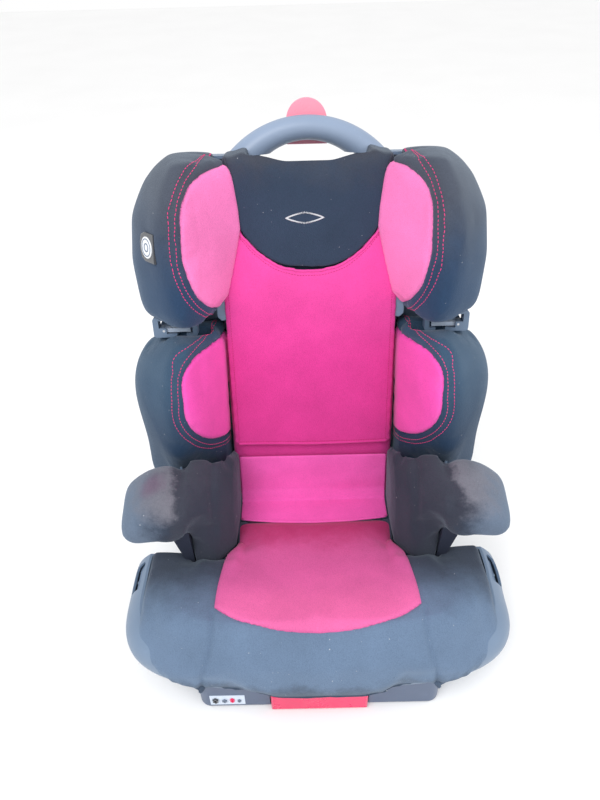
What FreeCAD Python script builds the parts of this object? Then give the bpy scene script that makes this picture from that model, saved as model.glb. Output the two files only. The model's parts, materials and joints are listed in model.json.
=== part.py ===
"""High-back booster seat for a child, on a reclining base with rigid anchor arms.

Frame: X to the viewer's right when facing the seat, Y towards the backrest, Z up.
The origin is the centre of the base's flat underside. Lengths are in millimetres.
"left" is -X and "right" is +X. The backrest and the headrest are drawn in their own
leaning frame (x, t, s): t runs rearwards through the back, s runs up along it.
"""
import os
import math
import FreeCAD
import Part

V = FreeCAD.Vector

# Base: a tray with a curved deck, a pull handle in its front and two anchor arms
BASE_WIDTH = 305.0
BASE_FRONT = -181.0
BASE_REAR = 189.0
BASE_TOP = 80.0
WALL = 3.0
RECLINE_AXIS_Z = 640.0
DECK_RADIUS = 600.0
DECK_THICKNESS = 2.5
DECK_SCREW_PLACES = [(-128.0, -150.0), (128.0, -150.0), (-110.0, 20.0), (110.0, 20.0),
                     (-100.0, 170.0), (100.0, 170.0)]
RAIL_SLOT_X = 90.0
RAIL_SLOT_HALF = 9.0
HANDLE_HALF = 61.0
HANDLE_TRAVEL = 12.0
RECESS_HALF = 62.5
RECESS_DEPTH = 28.0
PAWL_HALF = 12.0
PAWL_FRONT = -16.0
PAWL_REAR = 8.0
PAWL_TRAVEL = 5.0
ANCHOR_SPACING = 280.0
HOUSING_Y = (150.0, 222.0)
HOUSING_Z = (6.0, 34.0)
RUNNING_CLEARANCE = 0.05

# Seat tub: half width, front Y and height of each level, from the bottom up
SHELL_HALF_WIDTH = 247.5
TUB_LEVELS = [(212.0, -168.0, 38.0), (238.5, -187.5, 58.0), (SHELL_HALF_WIDTH, -191.0, 80.0),
              (241.0, -187.0, 100.0), (225.0, -175.0, 116.0)]
TUB_WALL = 3.5
TUB_MIDDLE_Y = -72.0
TUB_SQUARENESS = 3.6
TUB_POINTS = 24
FENDER_REAR = -25.0
REAR_TUB_HALF = 176.0
REAR_TUB_REAR = 150.0
REAR_TUB_TOP = 116.0
CUSHION_LEVELS = [(170.0, -191.0, 62.0), (203.0, -198.0, 80.0), (217.0, -199.0, 100.0),
                  (222.0, -197.0, 118.0), (217.0, -191.0, 134.0), (202.0, -181.0, 150.0),
                  (180.0, -168.0, 162.0)]
CUSHION_REAR = 62.0
ARMREST_SCREW_PLACES = [(-12.0, 95.0), (-12.0, 108.0)]
CLIP_TILT = 58.0
CLIP_CENTRE = V(233.2, -55, 101)

# Backrest: it leans back about the pivot rod
BACK_LEAN = 11.15
PIVOT_Y = 119.5
PIVOT_Z = 100.4
PIVOT_ROD_RADIUS = 4.0
BACK_SCREW_PLACES = [(-120.0, 60.0), (120.0, 60.0), (-120.0, 250.0), (120.0, 250.0),
                     (-36.0, 60.0), (36.0, 60.0)]
RACK_FIRST_S = 115.0
RACK_PITCH = 22.5
RACK_NOTCHES = 9

# Wings: level s, nose x, nose t and outermost x, from the bottom up
TORSO_ROOT = 120.5
TORSO_LEVELS = [(24.0, 170.0, -70.0, 226.0), (85.0, 166.0, -98.0, 234.0), (150.0, 162.0, -130.0, 236.0),
                (212.0, 161.0, -141.0, 235.0), (255.0, 160.0, -134.0, 214.0), (284.0, 152.0, -108.0, 184.0)]
HEAD_ROOT = 108.0
HEAD_LEVELS = [(296.0, 146.0, -108.0, 203.0), (328.0, 150.0, -134.0, 212.5), (367.0, 151.0, -141.0, 215.0),
               (420.0, 150.0, -141.0, 207.0), (462.0, 146.0, -132.0, 185.0), (485.0, 138.0, -110.0, 160.0)]

# Headrest: legs, hand opening, arched grip, belt guides and badge
LEG_INNER = 62.0
LEG_OUTER = 86.0
HEAD_SCREW_PLACES = [(-74.0, 360.0), (74.0, 360.0), (-74.0, 458.0), (74.0, 458.0)]
HAND_HALF = 57.0
HAND_S = 426.0
ARCH_HALF_SPAN = 80.0
ARCH_FOOT_S = 468.0
ARCH_TOP_S = 506.0
ARCH_T = 4.0
ARCH_RADIUS = 14.0
ARCH_FLARE = 5.0
ARCH_STATIONS = 9
LEVER_TRAVEL = 4.0
GUIDE_S_LOW = 272.0
GUIDE_S_HIGH = 298.0
GUIDE_T_FRONT = -70.0
GUIDE_T_REAR = -56.0
GATE_X = 184.0
GATE_S = 280.5
BADGE_RADIUS = 14.0
BADGE_PLACE = V(-178.5, -118.5, 398)
BADGE_NORMAL = V(-0.78, -0.62, 0.08)

BACK = FreeCAD.Placement(V(0, PIVOT_Y, PIVOT_Z), FreeCAD.Rotation(V(1, 0, 0), -BACK_LEAN))


# ---------- shared helpers ----------

def box(x0, x1, y0, y1, z0, z1):
    """A box between two corners."""
    return Part.makeBox(x1 - x0, y1 - y0, z1 - z0, V(x0, y0, z0))


def rod(start, end, radius):
    """A round bar from one point to another."""
    along = end - start
    return Part.makeCylinder(radius, along.Length, start, along)


def rounded_box(x0, x1, y0, y1, z0, z1, radius, axis):
    """A box whose four edges along one axis are rounded."""
    solid = box(x0, x1, y0, y1, z0, z1)
    edges = []
    for edge in solid.Edges:
        direction = edge.tangentAt(edge.FirstParameter)
        if abs(abs(direction.dot(axis)) - 1) < 1e-6:
            edges.append(edge)
    return solid.makeFillet(radius, edges)


def soft_box(x0, x1, y0, y1, z0, z1, radius):
    """A box with every edge rounded."""
    solid = box(x0, x1, y0, y1, z0, z1)
    return solid.makeFillet(radius, solid.Edges)


def prism(points, start, axis_x, axis_y, axis_z, length):
    """A polygon given in two axes, extruded along the third."""
    corners = [start + axis_x * a + axis_y * b for a, b in points]
    wire = Part.makePolygon(corners + [corners[0]])
    return Part.Face(wire).extrude(axis_z * length)


def mirrored(shape):
    """The same solid on the other side of the seat."""
    return shape.mirror(V(0, 0, 0), V(1, 0, 0))


def both_sides(shape):
    """The solid and its mirror image, joined."""
    return shape.fuse(mirrored(shape))


def on_back(shape):
    """Move a solid drawn in the leaning (x, t, s) frame to its place on the seat."""
    return shape.transformed(BACK.toMatrix(), True)


def recline_cylinder(radius):
    """The cylinder about the recline axis that the deck and the tub follow."""
    return Part.makeCylinder(radius, 700, V(-350, 0, RECLINE_AXIS_Z), V(1, 0, 0))


def closed_curve(points):
    """A smooth closed wire through the points."""
    curve = Part.BSplineCurve()
    curve.interpolate(points, True)
    return Part.Wire(curve.toShape())


def screws(places, axis, radius, length, head_radius, head_height):
    """Identical screws: each place is the underside of a head, and the shank runs along axis."""
    solids = []
    for place in places:
        shank = Part.makeCylinder(radius, length, place, axis)
        head = Part.makeCylinder(head_radius, head_height, place, axis * -1)
        solids.append(shank.fuse(head))
    return Part.makeCompound(solids)


# ---------- reclining base ----------

def deck_height(y, radius):
    """Height of a surface at this radius about the recline axis."""
    return RECLINE_AXIS_Z - math.sqrt(radius ** 2 - y ** 2)


def base_tray():
    half = BASE_WIDTH / 2
    tray = rounded_box(-half, half, BASE_FRONT, BASE_REAR, 0, BASE_TOP, 14, V(0, 0, 1))
    low_edges = [edge for edge in tray.Edges if edge.BoundBox.ZMax < 0.01]
    tray = tray.makeFillet(8, low_edges)
    inside = box(-half + WALL, half - WALL, BASE_FRONT + WALL, BASE_REAR - WALL, WALL, BASE_TOP + 1)
    inside = inside.makeFillet(10, [e for e in inside.Edges if abs(e.BoundBox.ZLength) > BASE_TOP - WALL])
    tray = tray.cut(inside)
    recess_back = BASE_FRONT + RECESS_DEPTH
    wall_back = box(-RECESS_HALF - WALL, RECESS_HALF + WALL, recess_back, recess_back + WALL, WALL, BASE_TOP)
    wall_side = box(RECESS_HALF, RECESS_HALF + WALL, BASE_FRONT + WALL, recess_back, WALL, BASE_TOP)
    tray = tray.fuse([wall_back, wall_side, mirrored(wall_side)])
    tray = tray.cut(box(-RECESS_HALF, RECESS_HALF, BASE_FRONT - 1, BASE_FRONT + 5, 2, BASE_TOP))
    arm_slot = box(45, 56, recess_back - 1, recess_back + WALL + 1, 25, 33)
    tray = tray.cut([arm_slot, mirrored(arm_slot)])
    guide_front = box(-PAWL_HALF, PAWL_HALF, PAWL_FRONT - 3.5, PAWL_FRONT - 0.5, WALL, 30)
    guide_rear = box(-PAWL_HALF, PAWL_HALF, PAWL_REAR + 0.5, PAWL_REAR + 3.5, WALL, 30)
    tray = tray.fuse([guide_front, guide_rear])
    for x, y in DECK_SCREW_PLACES:
        tray = tray.fuse(Part.makeCylinder(5, BASE_TOP - WALL, V(x, y, WALL)))
    tray = tray.cut(recline_cylinder(DECK_RADIUS + DECK_THICKNESS))
    for x, y in DECK_SCREW_PLACES:
        tray = tray.cut(Part.makeCylinder(1.6, BASE_TOP, V(x, y, 8)))
    corner = box(120, half + 1, 145, BASE_REAR + 1, 5, 41)
    return tray.cut([corner, mirrored(corner)]).removeSplitter()


def base_deck():
    full = box(-BASE_WIDTH / 2, BASE_WIDTH / 2, BASE_FRONT, BASE_REAR, 0, BASE_TOP + 10)
    full = full.makeFillet(14, [e for e in full.Edges if abs(e.BoundBox.ZLength) > BASE_TOP])
    deck = full.common(recline_cylinder(DECK_RADIUS + DECK_THICKNESS)).cut(recline_cylinder(DECK_RADIUS))
    recess = box(-RECESS_HALF, RECESS_HALF, BASE_FRONT - 1, BASE_FRONT + RECESS_DEPTH, 0, BASE_TOP + 10)
    slot = box(RAIL_SLOT_X - RAIL_SLOT_HALF, RAIL_SLOT_X + RAIL_SLOT_HALF, -150, 150, 0, BASE_TOP + 10)
    rack_slot = box(-16, 16, -78, 84, 0, BASE_TOP + 10)
    deck = deck.cut([recess, slot, mirrored(slot), rack_slot])
    for x, y in DECK_SCREW_PLACES:
        deck = deck.cut(Part.makeCylinder(2.2, BASE_TOP + 10, V(x, y, 0)))
        deck = deck.cut(Part.makeCylinder(4.4, 20, V(x, y, deck_height(y, DECK_RADIUS + 1.6))))
    return deck


def deck_screws():
    places = [V(x, y, deck_height(y, DECK_RADIUS + 1.6)) for x, y in DECK_SCREW_PLACES]
    return screws(places, V(0, 0, -1), 1.55, 14, 3.6, 1.2)


def front_label():
    return box(-138, -94, BASE_FRONT - 0.5, BASE_FRONT, 10, 32)


def front_handle():
    plate = box(-HANDLE_HALF, HANDLE_HALF, BASE_FRONT - 6, BASE_FRONT + 2, 3, 38)
    front_edges = [e for e in plate.Edges if e.BoundBox.YMax < BASE_FRONT - 5]
    plate = plate.makeFillet(3.5, front_edges)
    arm = box(46, 55, BASE_FRONT + 1, -22, 26, 32)
    cross = box(-46, 46, -34, -22, 26, 32)
    fork = box(13.2, 17.2, -34, 6, 17, 29)
    handle = plate.fuse([arm, mirrored(arm), cross, fork, mirrored(fork)])
    return handle.cut(rod(V(-20, 2, 20), V(20, 2, 20), 2.0)).removeSplitter()


def pawl_pin():
    return rod(V(-17.2, 2, 20), V(17.2, 2, 20), 2.0)


def recline_pawl():
    body = box(-PAWL_HALF + 0.4, PAWL_HALF - 0.4, PAWL_FRONT, PAWL_REAR, 12, 32.6)
    start = V(-20, 2, 20)
    end = V(-20, 2 - HANDLE_TRAVEL, 20 + PAWL_TRAVEL)
    radius = 2.0 + RUNNING_CLEARANCE
    along = (end - start).normalize()
    across = V(0, -along.z, along.y) * radius
    corners = [start + across, end + across, end - across, start - across]
    slot = Part.Face(Part.makePolygon(corners + [corners[0]])).extrude(V(40, 0, 0))
    ends = [Part.makeCylinder(radius, 40, point, V(1, 0, 0)) for point in (start, end)]
    return body.cut([slot] + ends)


def isofix_bars():
    x = ANCHOR_SPACING / 2
    bar = box(x - 8, x + 8, -120, 160, 9, 19)
    cross = box(-x, x, -120, -108, 9, 16)
    bars = bar.fuse([mirrored(bar), cross]).removeSplitter()
    return bars


def isofix_housing():
    x = ANCHOR_SPACING / 2
    y0, y1 = HOUSING_Y
    z0, z1 = HOUSING_Z
    shell = rounded_box(x - 15, x + 15, y0, y1, z0, z1, 5, V(0, 1, 0))
    bar_pocket = box(x - 8, x + 8, y0 - 1, 160, 9, 19)
    cavity = box(x - 4, x + 4, 163, y1 + 1, z0 + 3, z1 + 1)
    mouth = box(x - 16, x + 16, 200, y1 + 1, 14, 24)
    button_slot = box(x - 6.5, x + 6.5, 153, 176, 25, z1 + 1)
    shell = shell.cut([bar_pocket, cavity, mouth, button_slot])
    return shell.cut(rod(V(x - 20, 182, 28), V(x + 20, 182, 28), 2.0))


def isofix_hook_pin():
    x = ANCHOR_SPACING / 2
    return rod(V(x - 12, 182, 28), V(x + 12, 182, 28), 2.0)


def isofix_hook():
    """A flat claw that closes the mouth from above behind the anchor bar."""
    x = ANCHOR_SPACING / 2
    outline = [(177, 23), (177, 33), (214, 33), (216, 30), (216, 15), (211, 15), (208, 26), (190, 25)]
    claw = prism(outline, V(x - 2.5, 0, 0), V(0, 1, 0), V(0, 0, 1), V(1, 0, 0), 5)
    return claw.cut(rod(V(x - 9, 182, 28), V(x + 9, 182, 28), 2.0 + RUNNING_CLEARANCE))


def isofix_button():
    x = ANCHOR_SPACING / 2
    stem = box(x - 6, x + 6, 153.5, 164, 26, 34.5)
    cap = soft_box(x - 8, x + 8, 152, 166, 34.5, 39, 1.5)
    return stem.fuse(cap)


# ---------- seat ----------

def tub_section(half_width, front, rear, level):
    """A squared oval: the front half and the rear half have their own depth."""
    points = []
    power = 2 / TUB_SQUARENESS
    for step in range(TUB_POINTS):
        angle = 2 * math.pi * step / TUB_POINTS
        side = math.copysign(abs(math.cos(angle)) ** power, math.cos(angle))
        depth = math.copysign(abs(math.sin(angle)) ** power, math.sin(angle))
        reach = (rear - TUB_MIDDLE_Y) if depth > 0 else (TUB_MIDDLE_Y - front)
        points.append(V(half_width * side, TUB_MIDDLE_Y + reach * depth, level))
    return closed_curve(points)


def tub_solid(inset, low, high):
    """The tub's outer form, drawn in by inset, between two heights."""
    sections = [tub_section(a - inset, front + inset, 60, level) for a, front, level in TUB_LEVELS]
    fender = Part.makeLoft(sections, True)
    fender = fender.common(box(-300, 300, -300, FENDER_REAR - inset, low, high))
    top = max(high, REAR_TUB_TOP)
    rear_half = REAR_TUB_HALF - inset
    rear = rounded_box(-rear_half, rear_half, -70, REAR_TUB_REAR - inset, low + 8, top, 18, V(0, 0, 1))
    return fender.fuse(rear)


def straddle(half, radius, front):
    """The space that the base and its deck take under the tub."""
    block = box(-half, half, front, 260, 0, 130)
    return block.cut(recline_cylinder(radius))


def seat_shell_blank():
    outer = tub_solid(0, 38, REAR_TUB_TOP).cut(straddle(156, DECK_RADIUS - 1, BASE_FRONT - 2.5))
    inner = tub_solid(TUB_WALL, 41.5, REAR_TUB_TOP + 1)
    inner = inner.cut(straddle(156 + WALL, DECK_RADIUS - 1 - WALL, BASE_FRONT - 5.5))
    return outer.cut(inner)


def clip_block(half_length, half_width, low, high):
    """A rounded plate lying on the tub's flank."""
    block = rounded_box(-half_width, half_width, -half_length, half_length, low, high, 5, V(0, 0, 1))
    block.rotate(V(0, 0, 0), V(0, 1, 0), CLIP_TILT)
    block.translate(CLIP_CENTRE)
    return block


def side_clip_cover():
    return clip_block(20, 10.5, -1.6, 0.8)


def seat_shell():
    shell = seat_shell_blank()
    recess = clip_block(21.2, 11.7, -1.6, 12)
    shell = shell.cut([recess, mirrored(recess)])
    bore = rod(V(-200, PIVOT_Y, PIVOT_Z), V(200, PIVOT_Y, PIVOT_Z), PIVOT_ROD_RADIUS)
    shell = shell.cut(bore)
    for place in rail_shoe_places():
        shell = shell.cut(Part.makeCylinder(1.9, 12, V(place.x, place.y, place.z - 3)))
    for y, z in ARMREST_SCREW_PLACES:
        shell = shell.cut(rod(V(-200, y, z), V(200, y, z), 2.0))
    return shell


def rail_shoe_places():
    """Centres of the four rail shoes on the tub's underside."""
    places = []
    for y in (-70.0, 125.0):
        height = deck_height(y, DECK_RADIUS - 1)
        places += [V(-RAIL_SLOT_X, y, height), V(RAIL_SLOT_X, y, height)]
    return places


def rail_shoes():
    """T-shaped shoes that run in the deck's slots and hold the seat down."""
    solids = []
    for place in rail_shoe_places():
        neck = box(place.x - 6, place.x + 6, place.y - 14, place.y + 14, place.z - 20, place.z + 20)
        ring = recline_cylinder(DECK_RADIUS + 3.5).cut(recline_cylinder(DECK_RADIUS - 1))
        foot = box(place.x - 15, place.x + 15, place.y - 14, place.y + 14, place.z - 20, place.z + 20)
        foot_ring = recline_cylinder(DECK_RADIUS + 6.5).cut(recline_cylinder(DECK_RADIUS + 3.5))
        shoe = neck.common(ring).fuse(foot.common(foot_ring))
        solids.append(shoe.cut(Part.makeCylinder(2.1, 8, place - V(0, 0, 3))))
    return Part.makeCompound(solids)


def shoe_screws():
    places = [place + V(0, 0, WALL + 1.2) for place in rail_shoe_places()]
    return screws(places, V(0, 0, -1), 1.9, WALL + 3.0, 4.0, 2.0)


def recline_rack():
    """A toothed strip under the tub, above the pawl."""
    strip = box(-10, 10, -14, 76, 0, 80)
    ring = recline_cylinder(DECK_RADIUS + 3.0).cut(recline_cylinder(DECK_RADIUS - 1))
    rack = strip.common(ring)
    crown = recline_cylinder(DECK_RADIUS + 6.4).cut(recline_cylinder(DECK_RADIUS + 3.0))
    for step in range(8):
        tooth = box(-10, 10, -14 + 12 * step, -8 + 12 * step, 0, 80)
        rack = rack.fuse(tooth.common(crown))
    return rack.removeSplitter()


def wing_clearance(grow):
    """The space in front of which the seat's soft sides must stay: back pad and wings."""
    back = box(-TORSO_ROOT - 2, TORSO_ROOT + 2, -60 - grow, 200, -80, 400)
    points = [(80, -40), (-62 - grow, -40), (-72 - grow, 24), (-100 - grow, 85), (-132 - grow, 140),
              (-144 - grow, 200), (-144 - grow, 400), (80, 400)]
    side = prism(points, V(-260, 0, 0), V(0, 1, 0), V(0, 0, 1), V(1, 0, 0), 520)
    keep_centre = box(-TORSO_ROOT + 3, TORSO_ROOT - 3, -400, 200, -80, 400)
    return on_back(back.fuse(side.cut(keep_centre)))


def hip_bolster():
    """A pad that rises outwards to the armrest's inner edge; its front edge sweeps back inwards."""
    outer = [(-50, 118), (-52, 165), (-66, 200), (-73, 222), (-64, 241), (-30, 249), (40, 246),
             (80, 210), (80, 118)]
    middle = [(-54, 118), (-54, 165), (-48, 194), (-38, 212), (-18, 226), (10, 236), (40, 238),
              (80, 208), (80, 118)]
    inner = [(-22, 122), (-18, 150), (-14, 170), (-6, 190), (4, 208), (18, 224), (40, 228),
             (80, 205), (80, 124)]
    wires = []
    for x, outline in ((157.0, outer), (130.0, middle), (104.0, inner)):
        corners = [V(x, y, z) for y, z in outline]
        wires.append(Part.makePolygon(corners + [corners[0]]))
    pad = Part.makeLoft(wires, True, True)
    return pad.cut(wing_clearance(3))


def armrest_frame():
    low = [V(159.5, -46, 125), V(171, -46, 125), V(171, -2, 125), V(159.5, -2, 125)]
    high = [V(159.5, -56, 208), V(186, -56, 208), V(186, 2, 208), V(159.5, 2, 208)]
    wires = [Part.makePolygon(corners + [corners[0]]) for corners in (low, high)]
    flare = Part.makeLoft(wires, True, True)
    foot = box(159.5, 171, -46, -2, 72, 125)
    core = rounded_box(159.5, 226, -58, -6, 208, 215, 6, V(0, 0, 1))
    frame = flare.fuse([foot, core]).removeSplitter()
    for y, z in ARMREST_SCREW_PLACES:
        frame = frame.cut(rod(V(150, y, z), V(200, y, z), 2.0))
    return frame.cut(wing_clearance(3))


def armrest_pad():
    outline = [(158.5, 200), (158.5, 248), (176, 261), (203, 256), (232, 234), (243, 213),
               (236, 199), (205, 194)]
    centre_x = 200.0
    centre_z = 222.0
    sections = []
    for y, grow, drop in ((-75, 0.72, 9), (-67, 0.92, 7), (-42, 1.0, 3), (-12, 1.0, 0), (9, 0.88, 0)):
        points = []
        for x, z in outline:
            across = max(158.5, centre_x + (x - centre_x) * grow)
            points.append(V(across, y, centre_z + (z - centre_z) * grow - drop))
        sections.append(closed_curve(points))
    pad = Part.makeLoft(sections, True)
    keep = box(158.2, 300, -200, 200, 0, 400)
    return pad.common(keep).cut([armrest_frame(), wing_clearance(3)])


def seat_cushion():
    sections = [tub_section(a, front, 140, level) for a, front, level in CUSHION_LEVELS]
    blank = Part.makeLoft(sections, True)
    blank = blank.common(box(-260, 260, -260, CUSHION_REAR, 60, 170))
    blank = blank.cut(tub_solid(0, 38, REAR_TUB_TOP).cut(tub_solid(TUB_WALL, 41.5, REAR_TUB_TOP + 1)))
    blank = blank.cut(tub_solid(TUB_WALL - 0.5, 38, 86))
    aside = box(REAR_TUB_HALF - TUB_WALL, 300, FENDER_REAR - TUB_WALL, 300, 0, 300)
    top = [(-260, 172), (-171, 157), (60, 116), (200, 91), (200, 300), (-260, 300)]
    above = prism(top, V(-300, 0, 0), V(0, 1, 0), V(0, 0, 1), V(1, 0, 0), 600)
    lug_room = rod(V(-180, PIVOT_Y, PIVOT_Z), V(180, PIVOT_Y, PIVOT_Z), 56)
    blank = blank.cut([aside, mirrored(aside), above, lug_room])
    side_parts = [hip_bolster(), armrest_frame()]
    return blank.cut(side_parts + [mirrored(part) for part in side_parts])


def backrest_rod():
    return rod(V(-REAR_TUB_HALF, PIVOT_Y, PIVOT_Z), V(REAR_TUB_HALF, PIVOT_Y, PIVOT_Z), PIVOT_ROD_RADIUS)


def armrest_screws():
    """Two screws on each side that hold the armrest frames to the tub's side walls."""
    right = [V(REAR_TUB_HALF, y, z) for y, z in ARMREST_SCREW_PLACES]
    one_side = screws(right, V(-1, 0, 0), 2.0, 12, 4.0, 2.0)
    return Part.makeCompound([mirrored(one_side), one_side])


# ---------- backrest ----------

def strip(points, thickness, low, high):
    """A plate of constant thickness whose plan is a chain of straight runs."""
    plates = []
    for (xa, ta), (xb, tb) in zip(points, points[1:]):
        run = V(xb - xa, tb - ta, 0)
        side = V(-run.y, run.x, 0).normalize() * (thickness / 2)
        start = V(xa, ta, low)
        end = V(xb, tb, low)
        corners = [start + side, end + side, end - side, start - side]
        plates.append(Part.Face(Part.makePolygon(corners + [corners[0]])).extrude(V(0, 0, high - low)))
    for x, t in points[1:-1]:
        plates.append(Part.makeCylinder(thickness / 2, high - low, V(x, t, low)))
    return plates[0].fuse(plates[1:])


def back_frame():
    panel = rounded_box(-150, 150, -20, -16, 14, 330, 20, V(0, 1, 0))
    for x in (56.0, 88.5):
        rib = box(x, x + 3, -17, 3.6, 20, 292)
        panel = panel.fuse([rib, mirrored(rib)])
    core = strip([(148, -18), (158, -40), (170, -84), (176, -108)], 3.5, 60, 262)
    lug = Part.makeCylinder(11, 20, V(125, 0, 0), V(1, 0, 0))
    web = box(125, 145, -20, 9, 0, 24)
    panel = panel.fuse([core, mirrored(core), lug, mirrored(lug), web, mirrored(web)])
    bore = rod(V(-160, 0, 0), V(160, 0, 0), PIVOT_ROD_RADIUS + RUNNING_CLEARANCE)
    finger_hole = rod(V(105, -30, 300), V(105, 0, 300), 4)
    return on_back(panel.cut([bore, finger_hole, mirrored(finger_hole)]).removeSplitter())


def height_rack():
    """Notched strip along the middle of the back frame."""
    last = RACK_FIRST_S + RACK_PITCH * (RACK_NOTCHES - 1)
    rack = box(14, 22, -16, -2.5, RACK_FIRST_S - 7, last + 17)
    for step in range(RACK_NOTCHES):
        low = RACK_FIRST_S + RACK_PITCH * step
        rack = rack.cut(box(13, 18, -17, -2, low, low + 10))
    return on_back(rack)


def cover_outline(half, low, high, corner):
    """Block with rounded corners as seen from behind, used to trim the covers."""
    return rounded_box(-half, half, -80, 60, low, high, corner, V(0, 1, 0))


def back_cover():
    points = [(198, -30), (204, -8), (190, 6), (150, 11)]
    cover = strip(points, 3, 26, 288)
    middle = box(-150, 150, 9.5, 12.5, 26, 288)
    cover = middle.fuse([cover, mirrored(cover)])
    for x, s in BACK_SCREW_PLACES:
        boss = Part.makeCylinder(4.5, 26, V(x, -16, s), V(0, 1, 0))
        cover = cover.fuse(boss)
    cover = cover.common(cover_outline(206, 26, 288, 40))
    for x, s in BACK_SCREW_PLACES:
        cover = cover.cut(Part.makeCylinder(1.5, 40, V(x, -19, s), V(0, 1, 0)))
    return on_back(cover.removeSplitter())


def back_screws():
    places = [V(x, 12.5, s) for x, s in BACK_SCREW_PLACES]
    return on_back(screws(places, V(0, -1, 0), 1.5, 22, 3.6, 1.6))


def back_pad():
    """Wide between the torso wings, narrower where the head wings slide past it."""
    wide = soft_box(-118.5, 118.5, -48, -20.2, 4, 290, 7)
    narrow = soft_box(-105, 105, -48, -20.2, 260, 328, 7)
    return on_back(wide.fuse(narrow).removeSplitter())


def lower_flap():
    """Hangs from under the apron, then lies forward over the rear of the cushion."""
    plate = on_back(box(-100, 100, -52.5, -49, 0, 74))
    lip = [(20, 124), (20, 127), (72, 117.8), (72, 114.8)]
    return plate.fuse(prism(lip, V(-100, 0, 0), V(0, 1, 0), V(0, 0, 1), V(1, 0, 0), 200)).removeSplitter()


def wing_section(root, nose_x, nose_t, outer, level):
    """Plan of a wing: inner face, rounded nose, bulging outer side and rear."""
    reach = outer - nose_x
    points = [(root, -18), (root + 5, 0.42 * nose_t), (root + 0.42 * (nose_x - root), 0.80 * nose_t),
              (nose_x - 9, 0.98 * nose_t), (nose_x + 5, nose_t), (nose_x + 0.42 * reach, 0.86 * nose_t),
              (nose_x + 0.80 * reach, 0.58 * nose_t), (outer, 0.28 * nose_t), (outer - 3, -9),
              (outer - 16, 1), (root + 40, 1), (root + 8, 1)]
    return closed_curve([V(x, t, level) for x, t in points])


def wing_blank(root, levels):
    sections = [wing_section(root, nose_x, nose_t, outer, level) for level, nose_x, nose_t, outer in levels]
    return Part.makeLoft(sections, True)


def torso_wing():
    wing = wing_blank(TORSO_ROOT, TORSO_LEVELS)
    behind_panel = box(0, 152, -22, 40, 0, 400)
    gap = box(0, 206.5, -2, 40, 0, 400)
    cover_room = strip([(192, -36), (204, -8), (186, 10)], 12, 0, 400)
    guide_room = box(138, 260, GUIDE_T_FRONT - 2, GUIDE_T_REAR + 2, GUIDE_S_LOW - 2, 400)
    inner_edge = box(0, TORSO_ROOT - 0.5, -200, 40, 0, 400)
    return on_back(wing.cut([behind_panel, gap, cover_room, inner_edge, guide_room])).cut(back_frame())


# ---------- headrest ----------

def headrest_frame():
    plate = rounded_box(-105, 105, -14, -10.5, 336, 476, 12, V(0, 1, 0))
    core = strip([(103, -12.25), (122, -58), (148, -116)], 3.5, 336, 466)
    leg = rounded_box(LEG_INNER, LEG_OUTER, -13, 1, 60, 350, 3, V(0, 0, 1))
    arm = box(150, 172, -68, -58, GUIDE_S_HIGH, 352)
    bridge = box(124, 152, -68, -58, 340, 352)
    parts = [core, leg, arm, bridge]
    frame = plate.fuse(parts + [mirrored(part) for part in parts])
    frame = frame.cut(rounded_box(-HAND_HALF, HAND_HALF, -20, 0, 444, 500, 14, V(0, 1, 0)))
    for x, s in HEAD_SCREW_PLACES:
        frame = frame.cut(Part.makeCylinder(1.5, 20, V(x, -15, s), V(0, 1, 0)))
    return on_back(frame.removeSplitter())


def head_outline():
    """The headrest as seen from the front: it narrows towards its top."""
    half = [(0, 299), (196, 299), (207, 310), (211, 340), (211, 378), (203, 425), (184, 462),
            (166, 478), (0, 478)]
    side = prism(half, V(0, -90, 0), V(1, 0, 0), V(0, 0, 1), V(0, 1, 0), 160)
    return both_sides(side)


def headrest_shell():
    points = [(203, -62), (208, -30), (199, 2), (168, 10)]
    side = strip(points, 3.5, 299, 478)
    middle = box(-168, 168, 8.25, 11.75, 299, 478)
    shell = middle.fuse([side, mirrored(side)])
    shell = shell.common(head_outline())
    roof = box(-120, 120, -9, 9, 474.5, 478)
    shell = shell.fuse(roof)
    for x, s in HEAD_SCREW_PLACES:
        shell = shell.fuse(Part.makeCylinder(4.5, 20, V(x, -10.4, s), V(0, 1, 0)))
        shell = shell.cut(Part.makeCylinder(1.5, 40, V(x, -12, s), V(0, 1, 0)))
    hand_opening = rounded_box(-HAND_HALF, HAND_HALF, -20, 40, HAND_S, 520, 16, V(0, 1, 0))
    rail = box(5.4, 9, -7, 9, 340, 400)
    keeper = box(-9, 9, -10.2, -7, 340, 352)
    shell = shell.cut(hand_opening).fuse([rail, mirrored(rail), keeper])
    return on_back(shell.removeSplitter())


def headrest_screws():
    places = [V(x, 11.75, s) for x, s in HEAD_SCREW_PLACES]
    return on_back(screws(places, V(0, -1, 0), 1.5, 24, 3.6, 1.6))


def carry_handle():
    """An arched grip that thickens towards its two feet, slotted for the lever."""
    rise = ARCH_TOP_S - ARCH_FOOT_S
    arc_radius = (ARCH_HALF_SPAN ** 2 + rise ** 2) / (2 * rise)
    half_angle = math.asin(ARCH_HALF_SPAN / arc_radius)
    rings = []
    for step in range(ARCH_STATIONS):
        share = 2 * step / (ARCH_STATIONS - 1) - 1
        angle = half_angle * share
        centre = V(arc_radius * math.sin(angle), ARCH_T, ARCH_TOP_S - arc_radius * (1 - math.cos(angle)))
        tangent = V(math.cos(angle), 0, -math.sin(angle))
        rings.append(Part.Wire(Part.makeCircle(ARCH_RADIUS + ARCH_FLARE * share ** 2, centre, tangent)))
    grip = Part.makeLoft(rings, True)
    grip = grip.common(box(-130, 130, -40, 40, 478, 560))
    slot = box(-10, 10, ARCH_T + 2, 40, 501 - 3.5 - LEVER_TRAVEL, 511)
    return on_back(grip.cut(slot))


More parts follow.
